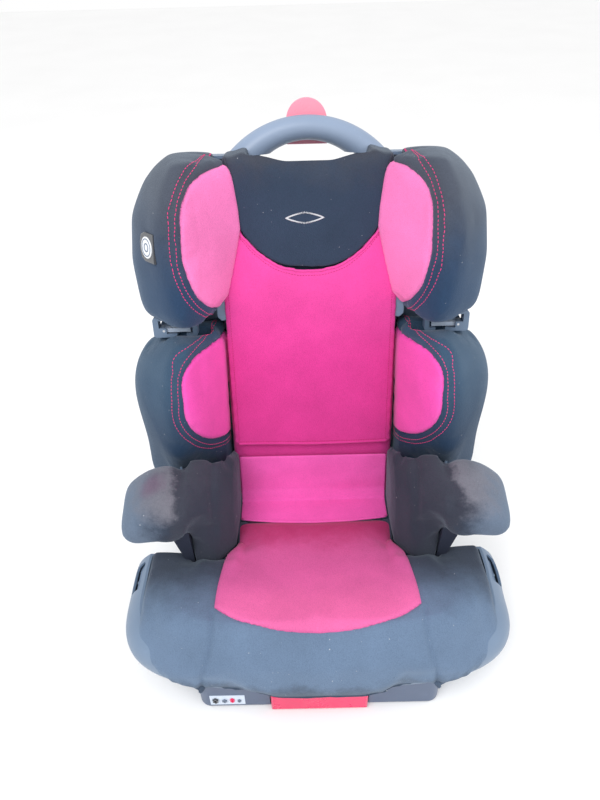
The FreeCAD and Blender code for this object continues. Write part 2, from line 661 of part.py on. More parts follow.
def head_pad():
    pad = soft_box(-106, 106, -58, -14.2, 336, 477, 9)
    slope = prism([(-54, 471), (-10, 446), (-10, 500), (-54, 500)], V(-70, 0, 0), V(0, 1, 0), V(0, 0, 1),
                  V(1, 0, 0), 140)
    return on_back(pad.cut([wing_cores(), slope]))


def wing_cores():
    core = strip([(103, -12.25), (122, -58), (148, -116)], 3.5, 336, 466)
    return both_sides(core)


def apron():
    """The front cover panel: it hangs from the headrest over the back pad."""
    return on_back(rounded_box(-109, 109, -56, -50, 100, 336, 2, V(0, 0, 1)))


def head_wing():
    wing = wing_blank(HEAD_ROOT, HEAD_LEVELS)
    under = box(0, 153, -22, 40, 0, 334)
    gap = box(0, 300, -1, 60, 0, 600)
    shell_room = strip([(201, -66), (207, -30), (196, 6)], 9, 0, 600)
    centre = box(0, HEAD_ROOT - 1.5, -200, 60, 0, 600)
    plate_room = box(0, HEAD_ROOT + 2, -22, 60, 0, 600)
    wing = wing.cut([under, gap, shell_room, centre, plate_room])
    outside = box(211.6, 300, -200, 60, 0, 600)
    keep = wing.fuse(wing_blank(HEAD_ROOT, HEAD_LEVELS).common(outside)).removeSplitter()
    solids = [headrest_frame(), headrest_shell(), head_pad(), belt_guide()]
    return on_back(keep).cut(solids)


def side_badge():
    """A round plaque on the outer side of the left head wing."""
    normal = V(BADGE_NORMAL)
    normal.normalize()
    return on_back(Part.makeCylinder(BADGE_RADIUS, 4, BADGE_PLACE - normal * 2.5, normal))


def belt_guide():
    """A block on the headrest's side with a slot for the shoulder belt and an entry from below."""
    block = rounded_box(142, 197, GUIDE_T_FRONT, GUIDE_T_REAR, GUIDE_S_LOW, GUIDE_S_HIGH, 4, V(0, 1, 0))
    slot = box(148, 190, -80, -40, GUIDE_S_LOW + 4.5, GUIDE_S_HIGH - 4)
    entry = box(156, 168, -80, -40, GUIDE_S_LOW - 1, GUIDE_S_LOW + 5)
    pin_hole = rod(V(GATE_X, GUIDE_T_FRONT, GATE_S), V(GATE_X, GUIDE_T_REAR, GATE_S), 1.5)
    ear_room = rod(V(GATE_X, -67.3, GATE_S), V(GATE_X, -58.7, GATE_S), 3.4)
    ear = box(GATE_X - 3.5, 191, GUIDE_T_FRONT, GUIDE_T_REAR, GUIDE_S_LOW, GATE_S + 3.5)
    gate_sweep = box(148, GATE_X, -67.3, -58.7, GATE_S - 3.4, GUIDE_S_HIGH - 4)
    return on_back(block.cut([slot, entry]).fuse(ear).cut([ear_room, pin_hole, gate_sweep]).removeSplitter())


def gate_pin():
    return on_back(rod(V(GATE_X, GUIDE_T_FRONT, GATE_S), V(GATE_X, GUIDE_T_REAR, GATE_S), 1.5))


def belt_gate():
    bar = box(151, GATE_X, -67, -59, GATE_S - 2.5, GATE_S + 2.5)
    knuckle = rod(V(GATE_X, -67, GATE_S), V(GATE_X, -59, GATE_S), 2.5)
    bore = rod(V(GATE_X, -80, GATE_S), V(GATE_X, -40, GATE_S), 1.5 + RUNNING_CLEARANCE)
    return on_back(bar.fuse(knuckle).cut(bore))


def height_lever():
    """A domed trigger behind the grip, with a tongue that runs in the grip's slot."""
    blade = box(-24.5, 24.5, 18.6, 32, 486, 513)
    dome = Part.makeCylinder(24.5, 13.4, V(0, 18.6, 513), V(0, 1, 0))
    dome = dome.common(box(-30, 30, 10, 40, 486, 560))
    tongue = box(-9.6, 9.6, ARCH_T + 2.5, 19, 498.5, 509)
    return on_back(blade.fuse([dome, tongue]).removeSplitter())


def lock_slider():
    """Long strip guided in the headrest; the tooth at its foot stands beside the height rack."""
    foot = RACK_FIRST_S + 1
    run = box(-5, 5, -6.6, -3, foot, 412)
    tooth = box(-5, 13.4, -6.6, -3, foot, foot + 8)
    return on_back(run.fuse(tooth).removeSplitter())


# ---------- list of nodes ----------

SINGLE_NODES = {
    "base_tray": base_tray, "base_deck": base_deck, "deck_screws": deck_screws, "front_label": front_label,
    "front_handle": front_handle, "pawl_pin": pawl_pin, "recline_pawl": recline_pawl,
    "isofix_bars": isofix_bars, "seat_shell": seat_shell, "rail_shoes": rail_shoes,
    "shoe_screws": shoe_screws, "recline_rack": recline_rack, "seat_cushion": seat_cushion,
    "backrest_rod": backrest_rod, "armrest_screws": armrest_screws, "back_frame": back_frame,
    "height_rack": height_rack, "back_cover": back_cover, "back_screws": back_screws,
    "back_pad": back_pad, "lower_flap": lower_flap, "headrest_frame": headrest_frame,
    "headrest_shell": headrest_shell, "headrest_screws": headrest_screws, "carry_handle": carry_handle,
    "head_pad": head_pad, "apron": apron, "side_badge": side_badge, "height_lever": height_lever,
    "lock_slider": lock_slider,
}
SIDED_NODES = {
    "isofix_housing": isofix_housing, "isofix_hook": isofix_hook, "isofix_button": isofix_button,
    "isofix_hook_pin": isofix_hook_pin, "side_clip_cover": side_clip_cover, "hip_bolster": hip_bolster,
    "armrest_frame": armrest_frame, "armrest_pad": armrest_pad, "torso_wing": torso_wing,
    "head_wing": head_wing, "belt_guide": belt_guide, "belt_gate": belt_gate, "gate_pin": gate_pin,
}


def main():
    os.makedirs("parts", exist_ok=True)
    for name, make in SINGLE_NODES.items():
        make().exportStep("parts/" + name + ".step")
    for name, make in SIDED_NODES.items():
        right = make()
        left = mirrored(right)
        if name == "head_wing":
            left = left.cut(side_badge())
        right.exportStep("parts/" + name + "_right.step")
        left.exportStep("parts/" + name + "_left.step")


main()
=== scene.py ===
"""Looks of a high-back child booster seat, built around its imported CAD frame.

Lengths are metres, angles radians. Soft parts start as copies of their CAD solids, are remeshed
and inflated as cloth, then get their seams, piping and stitches. The backrest and the headrest
are worked in their own leaning frame (x, t, s): t runs rearwards, s runs up along the back.
"""
import json
import math

import bmesh
import bpy
import numpy as np
from mathutils import Matrix, Vector
from mathutils.bvhtree import BVHTree


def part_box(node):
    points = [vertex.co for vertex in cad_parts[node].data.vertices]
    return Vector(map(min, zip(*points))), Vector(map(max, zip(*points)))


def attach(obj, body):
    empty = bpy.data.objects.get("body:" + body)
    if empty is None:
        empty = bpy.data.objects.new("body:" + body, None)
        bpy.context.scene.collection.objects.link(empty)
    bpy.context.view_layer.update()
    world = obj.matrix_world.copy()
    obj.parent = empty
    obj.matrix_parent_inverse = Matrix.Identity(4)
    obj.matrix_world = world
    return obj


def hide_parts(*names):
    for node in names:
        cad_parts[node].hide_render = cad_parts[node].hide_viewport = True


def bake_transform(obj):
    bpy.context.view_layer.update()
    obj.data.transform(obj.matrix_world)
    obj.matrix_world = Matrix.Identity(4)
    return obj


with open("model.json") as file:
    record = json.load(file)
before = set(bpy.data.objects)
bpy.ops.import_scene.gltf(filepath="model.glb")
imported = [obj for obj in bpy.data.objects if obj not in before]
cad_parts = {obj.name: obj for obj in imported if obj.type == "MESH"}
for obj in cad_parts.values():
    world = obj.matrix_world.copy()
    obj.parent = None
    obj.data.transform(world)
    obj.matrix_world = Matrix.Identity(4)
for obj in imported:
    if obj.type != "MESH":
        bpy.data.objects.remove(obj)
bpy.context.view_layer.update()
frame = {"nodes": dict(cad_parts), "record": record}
NODES = frame["nodes"]

LEAN = math.radians(11.15)
PIVOT = Vector((0.0, 0.1195, 0.1004))
MM = 0.001


# ---------- the leaning frame ----------

def back_point(x, t, s):
    """Place of a point given in the leaning frame, in mm."""
    y = s * math.sin(LEAN) + t * math.cos(LEAN)
    z = s * math.cos(LEAN) - t * math.sin(LEAN)
    return PIVOT + Vector((x, y, z)) * MM


def back_direction(x, t, s):
    return (back_point(x, t, s) - PIVOT).normalized()


def to_back(points):
    """Leaning frame coordinates in mm of an array of points."""
    d = (points - np.array(PIVOT)) / MM
    t = d[:, 1] * math.cos(LEAN) - d[:, 2] * math.sin(LEAN)
    s = d[:, 1] * math.sin(LEAN) + d[:, 2] * math.cos(LEAN)
    return np.stack([d[:, 0], t, s], axis=1)


# ---------- materials ----------
# Colours are linear. A light-and-wear ramp is (axis, start, end, colour reached at the end, share of it);
# most ramps are painted light and shade, a few carry some wear as well.

class Shader:
    """A material with a few short ways to add nodes."""

    def __init__(self, name):
        self.material = bpy.data.materials.new(name)
        self.material.use_nodes = True
        self.tree = self.material.node_tree
        self.tree.nodes.clear()
        self.surface = self.add("ShaderNodeBsdfPrincipled")
        output = self.add("ShaderNodeOutputMaterial")
        self.link(self.surface.outputs[0], output.inputs[0])
        self.place = self.add("ShaderNodeTexCoord").outputs["Object"]

    def add(self, kind, **values):
        node = self.tree.nodes.new(kind)
        for key, value in values.items():
            setattr(node, key, value)
        return node

    def link(self, source, target):
        self.tree.links.new(source, target)

    def constant(self, **values):
        for key, value in values.items():
            self.surface.inputs[key.replace("_", " ")].default_value = value

    def noise(self, scale, detail=2.0, roughness=0.5):
        node = self.add("ShaderNodeTexNoise")
        node.inputs["Scale"].default_value = scale
        node.inputs["Detail"].default_value = detail
        node.inputs["Roughness"].default_value = roughness
        self.link(self.place, node.inputs["Vector"])
        return node.outputs["Fac"]

    def maths(self, operation, a, b):
        node = self.add("ShaderNodeMath", operation=operation)
        for socket, value in zip(node.inputs, (a, b)):
            if isinstance(value, (int, float)):
                socket.default_value = value
            else:
                self.link(value, socket)
        return node.outputs[0]

    def ramp(self, fac, stops):
        """A colour ramp: stops are (position, colour)."""
        node = self.add("ShaderNodeValToRGB")
        while len(node.color_ramp.elements) < len(stops):
            node.color_ramp.elements.new(0.5)
        for element, (position, colour) in zip(node.color_ramp.elements, stops):
            element.position = position
            element.color = (*colour, 1)
        self.link(fac, node.inputs[0])
        return node.outputs[0]

    def mix(self, fac, a, b, blend="MIX"):
        node = self.add("ShaderNodeMix", data_type="RGBA", blend_type=blend)
        for socket, value in ((node.inputs[0], fac), (node.inputs[6], a), (node.inputs[7], b)):
            if isinstance(value, (int, float)):
                socket.default_value = value
            elif isinstance(value, tuple):
                socket.default_value = (*value, 1)
            else:
                self.link(value, socket)
        return node.outputs[2]

    def colour(self, source):
        self.link(source, self.surface.inputs["Base Color"])

    def roughness(self, source, low, high):
        node = self.add("ShaderNodeMapRange")
        node.inputs["To Min"].default_value = low
        node.inputs["To Max"].default_value = high
        self.link(source, node.inputs["Value"])
        self.link(node.outputs[0], self.surface.inputs["Roughness"])

    def bump(self, height, distance, strength=1.0):
        node = self.add("ShaderNodeBump")
        node.inputs["Distance"].default_value = distance
        node.inputs["Strength"].default_value = strength
        self.link(height, node.inputs["Height"])
        self.link(node.outputs[0], self.surface.inputs["Normal"])


def shade(colour, factor):
    return tuple(min(1.0, c * factor) for c in colour)


def along(shader, axis):
    """A coordinate of the place on the piece, with a ragged border. axis is x, y, z or across,
    the distance from the middle plane."""
    split = shader.add("ShaderNodeSeparateXYZ")
    shader.link(shader.place, split.inputs[0])
    if axis == "across":
        value = shader.maths("ABSOLUTE", split.outputs[0], 0.0)
    else:
        value = split.outputs["xyz".index(axis)]
    grain = shader.maths("MULTIPLY", shader.maths("SUBTRACT", shader.noise(24.0, 5.0, 0.68), 0.5), 0.06)
    return shader.maths("ADD", value, grain)


def light_and_wear_ramp(shader, base, axis, start, end, colour, amount=1.0):
    """Turns the base colour into another along an axis, from start to end in metres. Used for painted
    light and shade, in places with some wear.
    """
    reach = shader.add("ShaderNodeMapRange", interpolation_type="SMOOTHSTEP")
    shader.link(along(shader, axis), reach.inputs["Value"])
    reach.inputs["From Min"].default_value = start
    reach.inputs["From Max"].default_value = end
    reach.inputs["To Max"].default_value = amount
    return shader.mix(reach.outputs[0], base, colour)


def stained(shader, base, place, radius, colour):
    """A faint stain with a ragged border."""
    reach = shader.add("ShaderNodeVectorMath", operation="DISTANCE")
    shader.link(shader.place, reach.inputs[0])
    reach.inputs[1].default_value = place
    ragged = shader.maths("MULTIPLY", shader.noise(45.0, 5.0, 0.7), radius * 1.2)
    spread = shader.maths("ADD", reach.outputs["Value"], ragged)
    spot = shader.ramp(spread, [(radius * 1.0, (0.6,) * 3), (radius * 1.9, (0, 0, 0))])
    return shader.mix(spot, base, colour)


def fabric(name, colour, thread_mm=1.1, sheen=0.25, sheen_tint=None, lint=0.0, light_and_wear_ramps=(), stain=None):
    """Knitted or woven cloth: fine threads, faint blotches, painted light and shade in zones (a few
    with wear as well) and, on dark cloth, specks of lint."""
    shader = Shader(name)
    knit = shader.add("ShaderNodeTexVoronoi", feature="SMOOTH_F1")
    knit.inputs["Scale"].default_value = 1.0 / (thread_mm * MM)
    shader.link(shader.place, knit.inputs["Vector"])
    weave = knit.outputs["Distance"]
    fuzz = shader.noise(900.0, 3.0, 0.6)
    base = colour
    for ramp_entry in light_and_wear_ramps:
        base = light_and_wear_ramp(shader, base, *ramp_entry)
    if stain is not None:
        base = stained(shader, base, *stain)
    blotch = shader.ramp(shader.noise(14.0, 4.0, 0.6), [(0.3, (0.84,) * 3), (0.7, (1.0,) * 3)])
    base = shader.mix(1.0, base, blotch, "MULTIPLY")
    threads = shader.ramp(weave, [(0.1, (1.0,) * 3), (0.7, (0.66,) * 3)])
    base = shader.mix(0.55, base, threads, "MULTIPLY")
    if lint > 0:
        specks = shader.ramp(shader.noise(380.0, 1.0, 0.3), [(0.80, (0, 0, 0)), (0.84, (lint,) * 3)])
        base = shader.mix(specks, base, (0.62, 0.63, 0.66))
    shader.colour(base)
    shader.roughness(fuzz, 0.78, 0.98)
    shader.constant(Sheen_Weight=sheen, Sheen_Roughness=0.45, Specular_IOR_Level=0.2)
    if sheen_tint is not None:
        shader.constant(Sheen_Tint=(*sheen_tint, 1))
    height = shader.maths("SUBTRACT", shader.maths("MULTIPLY", fuzz, 0.6), weave)
    shader.bump(height, 0.0004, 0.7)
    return shader.material


def dark_cloth(name, colour, light_and_wear_ramps=(), stain=None, lint=0.5):
    return fabric(name, colour, sheen=0.22, sheen_tint=(0.70, 0.85, 1.0), lint=lint, light_and_wear_ramps=light_and_wear_ramps,
                  stain=stain)


def pink_cloth(name, colour, light_and_wear_ramps=()):
    return fabric(name, colour, thread_mm=0.9, sheen=0.2, sheen_tint=(1.0, 0.75, 0.88), light_and_wear_ramps=light_and_wear_ramps)


def sewing_thread(name, colour):
    return fabric(name, colour, thread_mm=0.5, sheen=0.1)


def plastic(name, colour, rough=(0.32, 0.48), grain=700.0, depth=0.00008, scuff=0.5, coat=0.0):
    """Moulded plastic: fine grain, faint flow variation and scuffs that dull the gloss."""
    shader = Shader(name)
    flow = shader.noise(7.0, 3.0, 0.6)
    base = shader.ramp(flow, [(0.3, shade(colour, 0.90)), (0.7, shade(colour, 1.10))])
    marks = shader.ramp(shader.noise(55.0, 6.0, 0.75), [(0.60, (0, 0, 0)), (0.74, (scuff,) * 3)])
    base = shader.mix(marks, base, shade(colour, 1.35))
    shader.colour(base)
    shader.roughness(shader.noise(30.0, 4.0, 0.65), *rough)
    shader.constant(Coat_Weight=coat, Coat_Roughness=0.15)
    shader.bump(shader.noise(grain, 2.0, 0.5), depth, 0.8)
    return shader.material


def metal(name, colour, rough=(0.25, 0.42)):
    """Zinc plated steel with fine drawing marks."""
    shader = Shader(name)
    marks = shader.noise(420.0, 4.0, 0.7)
    tones = [(0.3, shade(colour, 0.85)), (0.7, shade(colour, 1.1))]
    shader.colour(shader.ramp(shader.noise(40.0, 3.0, 0.6), tones))
    shader.roughness(marks, *rough)
    shader.constant(Metallic=1.0)
    shader.bump(marks, 0.00006, 0.5)
    return shader.material


# The charcoal cloths are one dark fabric and the pink cloths one pink fabric, in lighter and darker
# copies per part: painted light and shade.
MATERIALS = {
    # Head pad: lighter towards its top, painted light on the crest.
    "head_cloth": dark_cloth("head_pad_fabric", (0.032, 0.052, 0.092),
                             [("z", 0.545, 0.60, (0.055, 0.060, 0.080))]),
    # Head wings: lighter towards their top, painted light.
    "wing_cloth": dark_cloth("head_wing_fabric", (0.022, 0.054, 0.118),
                             [("z", 0.45, 0.58, (0.070, 0.082, 0.112))]),
    # Torso wings: darker low down, painted shade, and lighter upwards.
    "torso_cloth": dark_cloth("torso_wing_fabric", (0.012, 0.036, 0.085),
                              [("z", 0.25, 0.37, (0.042, 0.086, 0.150))]),
    # Cushion: lighter towards the front, a painted highlight on its front roll, and darker again low on
    # the front, painted shade.
    "cushion_cloth": dark_cloth("cushion_fabric", (0.044, 0.056, 0.086),
                                [("y", -0.060, -0.155, (0.145, 0.215, 0.330)),
                                 ("z", 0.100, 0.066, (0.060, 0.085, 0.130))], lint=0.7),
    # Armrests: the bolster's hollow, its front and the armrest's inner side darker, painted shade; the
    # outer side and the top lighter, painted light, the top with some wear too. The reddish stain is a
    # real stain.
    "arm_cloth": dark_cloth("armrest_fabric", (0.021, 0.036, 0.064),
                            [("across", 0.130, 0.150, (0.036, 0.047, 0.078)),
                             ("y", -0.030, -0.060, (0.020, 0.030, 0.056), 0.8),
                             ("across", 0.176, 0.212, (0.130, 0.175, 0.250)),
                             ("z", 0.222, 0.262, (0.190, 0.188, 0.225), 0.9),
                             ("across", 0.182, 0.168, (0.034, 0.038, 0.058), 0.9)],
                            stain=((-0.198, -0.028, 0.250), 0.017, (0.15, 0.075, 0.14)), lint=0.7),
    "pink": pink_cloth("pink_fabric", (0.70, 0.046, 0.30)),
    # Apron: lighter towards its top, painted light.
    "pink_apron": pink_cloth("apron_fabric", (0.71, 0.046, 0.300),
                             [("z", 0.32, 0.46, (0.90, 0.080, 0.400))]),
    # Head wing lining: a lighter copy of the pink, painted sheen and light.
    "pink_head": pink_cloth("head_lining_fabric", (0.96, 0.230, 0.56)),
    # Torso wing lining: a lighter copy of the pink, lighter still further out, painted light.
    "pink_torso": pink_cloth("torso_lining_fabric", (0.97, 0.098, 0.51),
                             [("across", 0.140, 0.165, (0.98, 0.128, 0.53))]),
    # Flap: a lighter copy of the pink, painted light.
    "pink_flap": pink_cloth("flap_fabric", (0.97, 0.132, 0.54)),
    # Cushion panel: dark at the rear under the flap, painted shade, then lighter and greyer towards the
    # front, painted light with some wear.
    "pink_cushion": pink_cloth("cushion_panel_fabric", (0.50, 0.038, 0.168),
                               [("y", 0.010, -0.055, (0.66, 0.112, 0.340)),
                                ("y", -0.075, -0.150, (0.82, 0.150, 0.400))]),
    "thread": sewing_thread("pink_thread", (0.92, 0.06, 0.26)),
    "dark_thread": sewing_thread("dark_pink_thread", (0.50, 0.02, 0.14)),
    "white_thread": sewing_thread("pale_thread", (0.72, 0.74, 0.78)),
    "grey": plastic("grey_plastic", (0.135, 0.197, 0.292)),
    # Carry handle: a lighter copy of the grey plastic, a painted highlight of its lit top.
    "handle": plastic("highlit_handle_plastic", (0.225, 0.290, 0.405)),
    # Height lever: a paler copy of the red plastic, partly its own colour and partly a painted highlight
    # of its lit top.
    "trigger": plastic("trigger_plastic", (0.93, 0.27, 0.37), rough=(0.22, 0.34), scuff=0.2, coat=0.15),
    # Armrest frames: their grey plastic painted dark, painted shade under the armrest pads.
    "shade": plastic("shadowed_armrest_plastic", (0.030, 0.036, 0.058)),
    "base": plastic("base_plastic", (0.082, 0.115, 0.190)),
    "light": plastic("light_plastic", (0.42, 0.50, 0.62), rough=(0.2, 0.3), scuff=0.2, coat=0.3),
    "white": plastic("white_plastic", (0.72, 0.72, 0.68), rough=(0.3, 0.4)),
    "red": plastic("red_plastic", (0.78, 0.013, 0.115), rough=(0.22, 0.34), scuff=0.3, coat=0.15),
    "steel": metal("zinc_steel", (0.62, 0.63, 0.66)),
    "label": plastic("label_paper", (0.62, 0.70, 0.82), rough=(0.4, 0.5), scuff=0.05),
    "slate": plastic("slate_print", (0.16, 0.20, 0.27), rough=(0.25, 0.35), scuff=0.1),
    "silver": plastic("badge_print", (0.78, 0.80, 0.84), rough=(0.18, 0.28), scuff=0.1, coat=0.6),
    "black_gloss": plastic("badge_tab", (0.012, 0.016, 0.026), rough=(0.12, 0.2), scuff=0.1, coat=0.8),
}
SLOT_MATERIALS = {
    "grey_plastic": "grey", "base_plastic": "base", "light_plastic": "light", "white_plastic": "white",
    "red_plastic": "red", "steel": "steel", "black_fabric": "torso_cloth", "pink_fabric": "pink",
    "label": "label", "badge": "silver",
}

# The armrest frames take the dark plastic, painted shade.
NODE_MATERIALS = {"armrest_frame_left": "shade", "armrest_frame_right": "shade", "carry_handle": "handle",
                  "height_lever": "trigger"}


# ---------- mesh helpers ----------

def new_object(name, mesh, body, material):
    obj = bpy.data.objects.new(name, mesh)
    bpy.context.collection.objects.link(obj)
    mesh.materials.clear()
    mesh.materials.append(MATERIALS[material])
    if body is not None:
        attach(obj, body)
    return obj


def coordinates(mesh):
    values = np.empty(len(mesh.vertices) * 3)
    mesh.vertices.foreach_get("co", values)
    return values.reshape(-1, 3)


def normals(mesh):
    values = np.empty(len(mesh.vertices) * 3)
    mesh.vertices.foreach_get("normal", values)
    return values.reshape(-1, 3)


def set_coordinates(mesh, points):
    mesh.vertices.foreach_set("co", points.ravel())
    mesh.update()


def made_mesh(verts, faces):
    mesh = bpy.data.meshes.new("made")
    mesh.from_pydata([tuple(v) for v in verts], [], faces)
    return mesh


def smooth_shaded(mesh):
    mesh.polygons.foreach_set("use_smooth", [True] * len(mesh.polygons))
    return mesh


def evaluated_mesh(obj):
    graph = bpy.context.evaluated_depsgraph_get()
    return bpy.data.meshes.new_from_object(obj.evaluated_get(graph), depsgraph=graph).copy()


def with_modifiers(mesh, *modifiers):
    """The mesh after a chain of modifiers, each given as (kind, settings)."""
    obj = bpy.data.objects.new("work", mesh)
    bpy.context.collection.objects.link(obj)
    for kind, settings in modifiers:
        modifier = obj.modifiers.new(kind, kind)
        for key, value in settings.items():
            setattr(modifier, key, value)
    bpy.context.view_layer.update()
    result = evaluated_mesh(obj)
    bpy.data.objects.remove(obj)
    return result


def inflated(mesh, pressure, cap, frames=20):
    """Cloth under inner pressure. No point moves further than cap."""
    obj = bpy.data.objects.new("work", mesh)
    bpy.context.collection.objects.link(obj)
    cloth = obj.modifiers.new("Cloth", "CLOTH")
    settings = cloth.settings
    settings.use_pressure = True
    settings.uniform_pressure_force = pressure
    settings.effector_weights.gravity = 0.0
    settings.quality = 4
    settings.mass = 0.3
    cloth.point_cache.frame_start = 1
    cloth.point_cache.frame_end = frames
    scene = bpy.context.scene
    for number in range(1, frames + 1):
        scene.frame_set(number)
    swollen = coordinates(evaluated_mesh(obj))
    scene.frame_set(1)
    bpy.data.objects.remove(obj)
    rest = coordinates(mesh)
    move = swollen - rest
    length = np.linalg.norm(move, axis=1, keepdims=True)
    move *= np.minimum(1.0, cap / np.maximum(length, 1e-9))
    set_coordinates(mesh, rest + move)
    return mesh


def soft_mesh(source, voxel, shrink, cap, pressure=4.0, smooth=6):
    """A padded form from a plain solid: remeshed, rounded, inflated and subdivided. Also gives
    where its points were before it swelled."""
    mesh = with_modifiers(source.copy(), ("REMESH", {"mode": "VOXEL", "voxel_size": voxel}),
                          ("SMOOTH", {"factor": 0.5, "iterations": smooth}))
    set_coordinates(mesh, coordinates(mesh) - normals(mesh) * shrink)
    finer = ("SUBSURF", {"levels": 1, "render_levels": 1})
    rest = coordinates(with_modifiers(mesh.copy(), finer))
    mesh = inflated(mesh, pressure, cap)
    return smooth_shaded(with_modifiers(mesh, finer)), rest


def step_between(values, start, end):
    """0 before start, 1 after end and a smooth rise between them."""
    share = np.clip((values - start) / (end - start), 0, 1)
    return share * share * (3 - 2 * share)


def flipped_copy(mesh):
    """The mesh mirrored to the other side of the seat."""
    copy = mesh.copy()
    copy.transform(Matrix.Scale(-1, 4, (1, 0, 0)))
    copy.flip_normals()
    return copy


def surface_tree(mesh):
    bm = bmesh.new()
    bm.from_mesh(mesh)
    tree = BVHTree.FromBMesh(bm)
    bm.free()
    return tree


def split_face(face, zeros):
    """Splits a face between its first two zero corners that aren't neighbours."""
    for i, a in enumerate(zeros):
        for b in zeros[i + 1:]:
            if not any(b in edge.verts for edge in a.link_edges):
                bmesh.utils.face_split(face, a, b)
                return


def cut_out(mesh, field):
    """The part of the mesh where the field is negative, cut along its zero line, and its field."""
    bm = bmesh.new()
    bm.from_mesh(mesh)
    bmesh.ops.triangulate(bm, faces=bm.faces[:])
    value = {v: (0.0 if abs(f) < 0.0002 else f) for v, f in zip(bm.verts, field)}
    for edge in bm.edges[:]:
        a, b = edge.verts
        if value[a] * value[b] < 0:
            share = abs(value[a]) / (abs(value[a]) + abs(value[b]))
            fresh = bmesh.utils.edge_split(edge, a, share)[1]
            value[fresh] = 0.0
    for face in bm.faces[:]:
        zeros = [v for v in face.verts if value[v] == 0.0]
        if len(face.verts) > 3 and len(zeros) >= 2:
            split_face(face, zeros)
    outside = [f for f in bm.faces if sum(value[v] for v in f.verts) >= 0]
    bmesh.ops.delete(bm, geom=outside, context="FACES")
    part = bpy.data.meshes.new("panel")
    bm.to_mesh(part)
    values = np.array([value[v] for v in bm.verts])
    bm.free()
    return part, values


def falloff(distance, width):
    return np.exp(-(distance / width) ** 2)


def displaced(mesh, amount):
    """Moves every point along its normal."""
    set_coordinates(mesh, coordinates(mesh) + normals(mesh) * amount[:, None])


def moved(mesh, amount, t, s):
    """Moves every point by its own amount, in mm, along t or s of the leaning frame."""
    step = np.array(back_direction(0, t, s)) * MM
    set_coordinates(mesh, coordinates(mesh) + amount[:, None] * step[None])


def sewn_panel(mesh, field, name, body, material, puff=0.0012):
    """Cuts a panel out of a soft form and lays it, as its own padded piece, in a recess of that form."""
    panel, values = cut_out(mesh, field)
    displaced(panel, puff * (1.0 - np.exp(values / 0.006)) - 0.0007 * falloff(values, 0.0015))
    panel = with_modifiers(panel, ("SOLIDIFY", {"thickness": 0.0022, "offset": -1.0}))
    displaced(mesh, -0.003 * np.clip(-field / 0.002, 0.0, 1.0))
    obj = new_object(name, smooth_shaded(panel), body, material)
    return obj


def tube_mesh(points, radius, sides=8, closed=False, taper=None):
    """A round tube along points; taper gives the radius share at each point."""
    points = [Vector(p) for p in points]
    count = len(points)
    verts, faces = [], []
    side = None
    for i, point in enumerate(points):
        before = points[i - 1] if (closed or i > 0) else point
        after = points[(i + 1) % count] if (closed or i < count - 1) else point
        along = (after - before).normalized()
        if side is None:
            side = along.orthogonal().normalized()
        side = (side - along * side.dot(along)).normalized()
        other = along.cross(side)
        reach = radius * (taper[i] if taper else 1.0)
        for k in range(sides):
            angle = 2 * math.pi * k / sides
            verts.append(point + (side * math.cos(angle) + other * math.sin(angle)) * reach)
    rings = count if closed else count - 1
    for i in range(rings):
        for k in range(sides):
            a, b = i * sides + k, i * sides + (k + 1) % sides
            c, d = (b + sides) % (count * sides), (a + sides) % (count * sides)
            faces.append((a, b, c, d))
    if not closed:
        faces.append(tuple(reversed(range(sides))))
        faces.append(tuple(range((count - 1) * sides, count * sides)))
    return smooth_shaded(made_mesh(verts, faces))


def joined(meshes):
    """One mesh that holds them all."""
    bm = bmesh.new()
    for mesh in meshes:
        bm.from_mesh(mesh)
    result = bpy.data.meshes.new("joined")
    bm.to_mesh(result)
    bm.free()
    return result


def resampled(points, step):
    """Points at equal steps along a line of points, with the place between given points worked out."""
    line = np.array([tuple(p) for p in points])
    lengths = np.concatenate([[0], np.cumsum(np.linalg.norm(np.diff(line, axis=0), axis=1))])
    count = max(2, int(round(lengths[-1] / step)))
    wanted = np.linspace(0, lengths[-1], count + 1)
    return np.stack([np.interp(wanted, lengths, line[:, k]) for k in range(3)], axis=1)


def snapped(points, tree, lift):
    """Points moved onto a surface and raised a little above it."""
    result = []
    for point in points:
        place, normal, _, _ = tree.find_nearest(Vector(point))
        result.append(place + normal * lift)
    return result


def stitches(points, tree, length=0.0030, gap=0.0016, radius=0.00045, lift=0.0001):
    """A row of sewn stitches along a line on a surface."""
    ends = snapped(resampled(points, (length + gap) / 3), tree, lift)
    meshes = []
    for i in range(0, len(ends) - 2, 3):
        start, middle, end = ends[i], ends[i + 1], ends[i + 2]
        path = [start, start.lerp(middle, 0.35), middle, middle.lerp(end, 0.65), end]
        meshes.append(tube_mesh(path, radius, sides=6, taper=(0.3, 1.0, 1.0, 1.0, 0.3)))
    return joined(meshes)


# ---------- wings ----------

